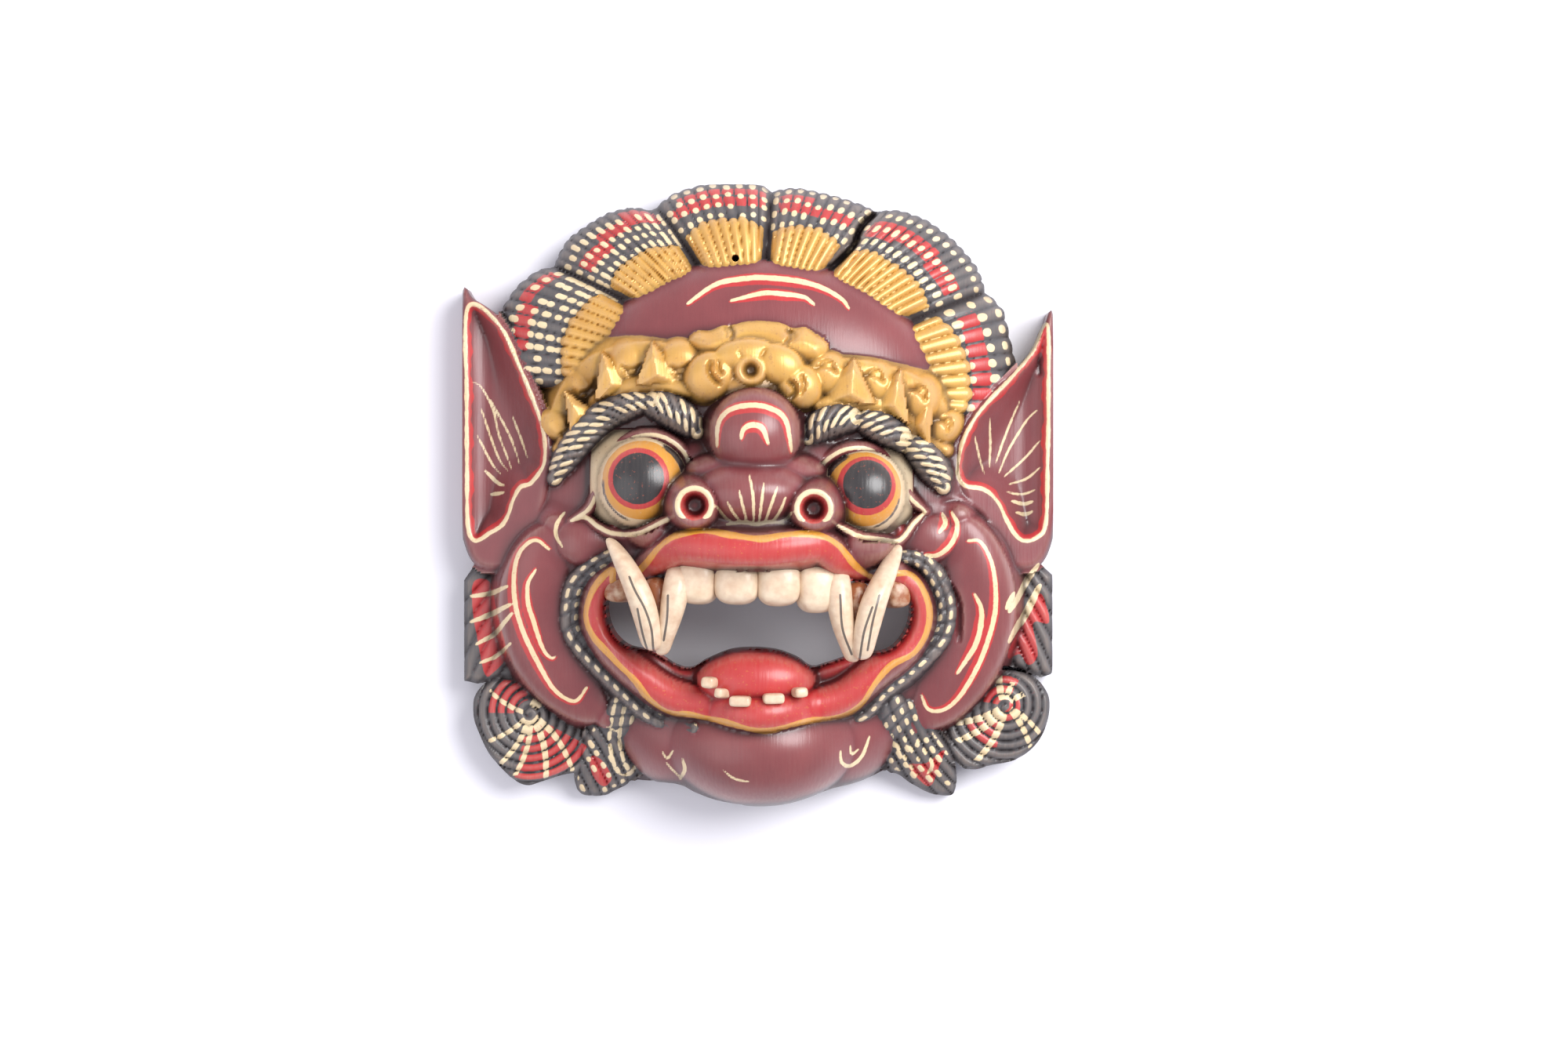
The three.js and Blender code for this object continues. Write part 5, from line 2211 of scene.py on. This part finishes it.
@dataclass
class Ivories:
    """The upper and lower teeth, the molars and the tusks, each a closed piece of its own."""

    low: Vector
    finish: bpy.types.Material
    fronts: tuple[tuple[float, ...], ...] = (
        (-25.6, -38, 70, 18, 21, 19, -14), (-8.6, -38.6, 72, 20.5, 20, 20, -4),
        (9.4, -38.8, 72, 20, 21, 20, 4), (26, -41, 70, 18.5, 22.5, 19, 14),
    )  # fmt: skip
    molars: tuple[tuple[float, ...], ...] = (
        (-60.5, -42, 52, 11, 12, 18, -18), (60.5, -44, 52, 11, 13, 18, 18),
    )  # fmt: skip
    lowers: tuple[tuple[float, ...], ...] = (
        (-20.6, -82.6, 66, 6.2, 5.2, 9, -20), (-15.2, -87.2, 67, 4.2, 4.4, 9, -30),
        (-7.2, -90.6, 69, 9.5, 4.8, 9, -6), (7.2, -89.4, 69, 9.5, 4.8, 9, 6),
        (18.6, -86.8, 67, 6, 4.6, 9, 16),
    )  # fmt: skip
    tusks: tuple[list[tuple[float, float, float, float]], ...] = (
        [(-65, -19, 62, 2.6), (-60, -26, 68, 4.6), (-55.5, -34, 74, 5.8), (-51.5, -42, 77, 6.4),
         (-48.6, -51, 77, 6.4), (-46.6, -60, 75, 5.6), (-45.4, -69, 71, 4.4)],
        [(-34, -29, 70, 4.4), (-34.6, -38, 74, 6.4), (-36, -48, 75, 6.2), (-38, -57, 74, 5.0),
         (-40.4, -65, 71, 4.0), (-41.6, -71, 67, 3.2)],
        [(62, -22, 62, 2.6), (58.4, -30, 68, 4.6), (54.6, -38, 74, 5.8), (51, -46, 77, 6.4),
         (48.6, -55, 77, 6.4), (46.6, -64, 75, 5.6), (45.6, -73, 71, 4.6)],
        [(35, -31, 70, 4.4), (35.6, -40, 74, 6.2), (36, -50, 75, 6.0), (38, -60, 74, 5.2),
         (40.6, -68, 71, 4.2), (42, -74, 67, 3.4)],
    )  # fmt: skip
    webs: tuple[list[tuple[float, float, float, float]], ...] = (
        [(-44, -36, 64, 7), (-43, -46, 68, 5.5), (-42.6, -56, 68, 4), (-42.4, -66, 66, 3)],
        [(44, -38, 64, 6.5), (43.4, -48, 68, 5), (43, -58, 68, 3.6), (43, -66, 66, 2.6)],
    )  # fmt: skip
    lines: tuple[list[Point], ...] = (
        [(-55.1, -36.2), (-52.4, -42.3), (-48.4, -49.7), (-45.6, -58.5), (-44.9, -68)],
        [(-51.5, -50), (-49.6, -60), (-47.6, -68)],
        [(-38.4, -44), (-38.8, -54), (-40.4, -64)],
        [(36.1, -44), (37.1, -58.5), (41.2, -70)],
        [(50, -49), (46.4, -60), (44.6, -72)],
        [(53, -44), (50, -56), (48, -68)],
    )

    def build(self) -> list[bpy.types.Object]:
        """Makes every piece.

        Returns:
            The pieces.
        """
        made = []
        for name, rows, stain in (
            ("front_tooth", self.fronts, 0.35),
            ("molar", self.molars, 0.9),
            ("lower_tooth", self.lowers, 0.45),
        ):
            for number, row in enumerate(rows, 1):
                made.append(self._dress(self._tooth(f"{name}_{number}", row), stain))
        for name, paths, stain in (("tusk", self.tusks, 0.4), ("web", self.webs, 1.2)):
            for number, path in enumerate(paths, 1):
                made.append(self._dress(self._tusk(f"{name}_{number}", path), stain))
        return made

    def _metres(self, x: float, y: float, z: float) -> tuple[float, float, float]:
        """A place in the scene's metres."""
        return (x * MM, y * MM, z * MM + self.low.z)

    def _tooth(self, name: str, row: tuple[float, ...]) -> bpy.types.Object:
        """Rounds a block into a tooth.

        Args:
            name: Its name.
            row: Centre x, y, z, width, height, depth and turn.

        Returns:
            The tooth.
        """
        x, y, z, wide, high, deep, turn = row
        bpy.ops.mesh.primitive_cube_add(
            size=1, location=self._metres(x, y, z), rotation=(0, radians(turn),
                radians(turn / 4))
        )
        tooth = bpy.context.object
        tooth.name = tooth.data.name = name
        tooth.scale = (wide * MM, high * MM, deep * MM)
        bpy.ops.object.transform_apply(location=True, rotation=True, scale=True)
        bevel = tooth.modifiers.new("round", "BEVEL")
        bevel.width = min(wide, high) * 0.36 * MM
        bevel.segments = 3
        soften = tooth.modifiers.new("soften", "SUBSURF")
        soften.levels = soften.render_levels = 2
        for modifier in ("round", "soften"):
            bpy.ops.object.modifier_apply(modifier=modifier)
        return tooth

    def _tusk(self, name: str, path: list[tuple[float, float, float,
        float]]) -> bpy.types.Object:
        """Draws a ring out along a path.

        Args:
            name: Its name.
            path: Places and half widths, from the lip to the tip.

        Returns:
            The tusk.
        """
        x, y, z, half = path[0]
        bpy.ops.mesh.primitive_circle_add(
            vertices=10, radius=half * MM, fill_type="NGON",
            location=self._metres(x, y, z), rotation=(pi / 2, 0, 0),
        )  # fmt: skip
        tusk = bpy.context.object
        tusk.name = tusk.data.name = name
        bpy.ops.object.transform_apply(location=True, rotation=True, scale=True)
        bpy.ops.object.mode_set(mode="EDIT")
        bpy.ops.mesh.select_all(action="SELECT")
        for (x0, y0, z0, h0), (x1, y1, z1, h1) in zip(path, path[1:]):
            step = ((x1 - x0) * MM, (y1 - y0) * MM, (z1 - z0) * MM)
            bpy.ops.mesh.extrude_region_move(TRANSFORM_OT_translate={"value": step})
            bpy.ops.transform.resize(value=(h1 / h0, 1, h1 / h0))
        bpy.ops.mesh.select_all(action="SELECT")
        bpy.ops.mesh.normals_make_consistent(inside=False)
        bpy.ops.object.mode_set(mode="OBJECT")
        soften = tusk.modifiers.new("soften", "SUBSURF")
        soften.levels = soften.render_levels = 3
        bpy.ops.object.modifier_apply(modifier="soften")
        return tusk

    def _dress(self, piece: bpy.types.Object, stain: float) -> bpy.types.Object:
        """Paints a piece, smooths it and hangs it on the mask's body in place of the imported
        solid.

        Args:
            piece: The piece.
            stain: How brown it is.

        Returns:
            The piece.
        """
        mesh = piece.data
        spots = np.empty(len(mesh.vertices) * 3)
        mesh.vertices.foreach_get("co", spots)
        x, y = spots.reshape(-1, 3)[:, 0] / MM, spots.reshape(-1, 3)[:, 1] / MM
        ink = np.full(x.shape, -5.0)
        if piece.name.startswith("tusk"):
            for line in self.lines:
                ink = np.maximum(ink, 0.5 - np.abs(Run(line, step=0.6).measure(x, y)[0]))
        brown = np.full(x.shape, stain)
        for name, values in (("ink", ink), ("stain", brown)):
            mesh.attributes.new(name, "FLOAT", "POINT").data.foreach_set("value", values)
        mesh.materials.append(self.finish)
        bpy.ops.object.shade_smooth()
        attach(piece, BODY)
        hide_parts(NODE)
        piece.select_set(False)
        log.info("%s: %d faces", piece.name, len(mesh.polygons))
        return piece


# ---- Studio -------------------------------------------------------------------------------


@dataclass
class Studio:
    """Pale floor, soft light and the camera over the mask."""

    lens: float = 75.4
    height: float = 1.5
    aim: Point = (0.0118, -0.0127)

    def build(self) -> None:
        """Makes the floor, lights and camera."""
        self._floor()
        self._light("key", (0.9, 0.55, 1.3), (0.0, 0.0, 0.03), 1.1, 34.0)
        self._light("fill", (-1.4, -0.4, 1.5), (0.0, 0.0, 0.0), 2.2, 12.0)
        world = bpy.data.worlds.new("room")
        world.use_nodes = True
        back = world.node_tree.nodes["Background"]
        back.inputs["Color"].default_value = (0.93, 0.92, 1.0, 1.0)
        back.inputs["Strength"].default_value = 0.75
        bpy.context.scene.world = world
        camera = bpy.data.objects.new("camera", bpy.data.cameras.new("camera"))
        camera.data.lens = self.lens
        camera.data.sensor_width = 36.0
        camera.location = (self.aim[0], self.aim[1], self.height)
        bpy.context.scene.collection.objects.link(camera)
        bpy.context.scene.camera = camera
        bpy.context.scene.view_settings.view_transform = "Standard"

    def _floor(self) -> None:
        """Lays the floor."""
        bpy.ops.mesh.primitive_plane_add(size=8.0, location=(0, 0, -0.0002))
        floor = bpy.context.object
        floor.name = "floor"
        material = bpy.data.materials.new("floor_paper")
        material.use_nodes = True
        nodes = Nodes(material.node_tree)
        place = nodes.add("ShaderNodeTexCoord").outputs["Object"]
        tone = nodes.noise(place, (3, 3, 3), 2)
        bsdf = material.node_tree.nodes["Principled BSDF"]
        nodes.link(
            nodes.mix(tone, (0.82, 0.81, 0.86, 1), (0.86, 0.85, 0.9, 1)),
            bsdf.inputs["Base Color"],
        )
        bsdf.inputs["Roughness"].default_value = 0.9
        floor.data.materials.append(material)

    def _light(
        self,
        name: str,
        place: tuple[float, float, float],
        aim: tuple[float, float, float],
        size: float,
        power: float,
    ) -> None:
        """Hangs a soft lamp.

        Args:
            name: Its name.
            place: Where it hangs.
            aim: What it faces.
            size: Its width.
            power: Its power in watts.
        """
        data = bpy.data.lights.new(name, "AREA")
        data.shape = "DISK"
        data.size = size
        data.energy = power
        lamp = bpy.data.objects.new(name, data)
        lamp.location = place
        turn = (Vector(aim) - Vector(place)).to_track_quat("-Z", "Y")
        lamp.rotation_euler = turn.to_euler()
        bpy.context.scene.collection.objects.link(lamp)


def main() -> None:
    """Builds the pieces in order and reports each."""
    logging.basicConfig(level=logging.INFO, format="%(message)s", stream=sys.stdout)
    bpy.ops.object.select_all(action="DESELECT")
    low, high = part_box(NODE)
    log.info("box %s %s", [round(v, 5) for v in low], [round(v, 5) for v in high])
    bench = Bench(low, high)
    carving = Mask().carve()
    piece = Shell(carving).build("carved_mask", bench)
    piece.data.materials.append(PaintedWood().make())
    piece.data.materials.append(BareWood().make())
    bpy.context.view_layer.objects.active = piece
    piece.select_set(True)
    bpy.ops.object.shade_smooth_by_angle(angle=radians(50))
    piece.select_set(False)
    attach(piece, BODY)
    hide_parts(NODE)
    log.info("%s: %d triangles", piece.name, len(piece.data.polygons))
    Ivories(low, Ivory().make()).build()
    Studio().build()


if __name__ == "__main__":
    main()
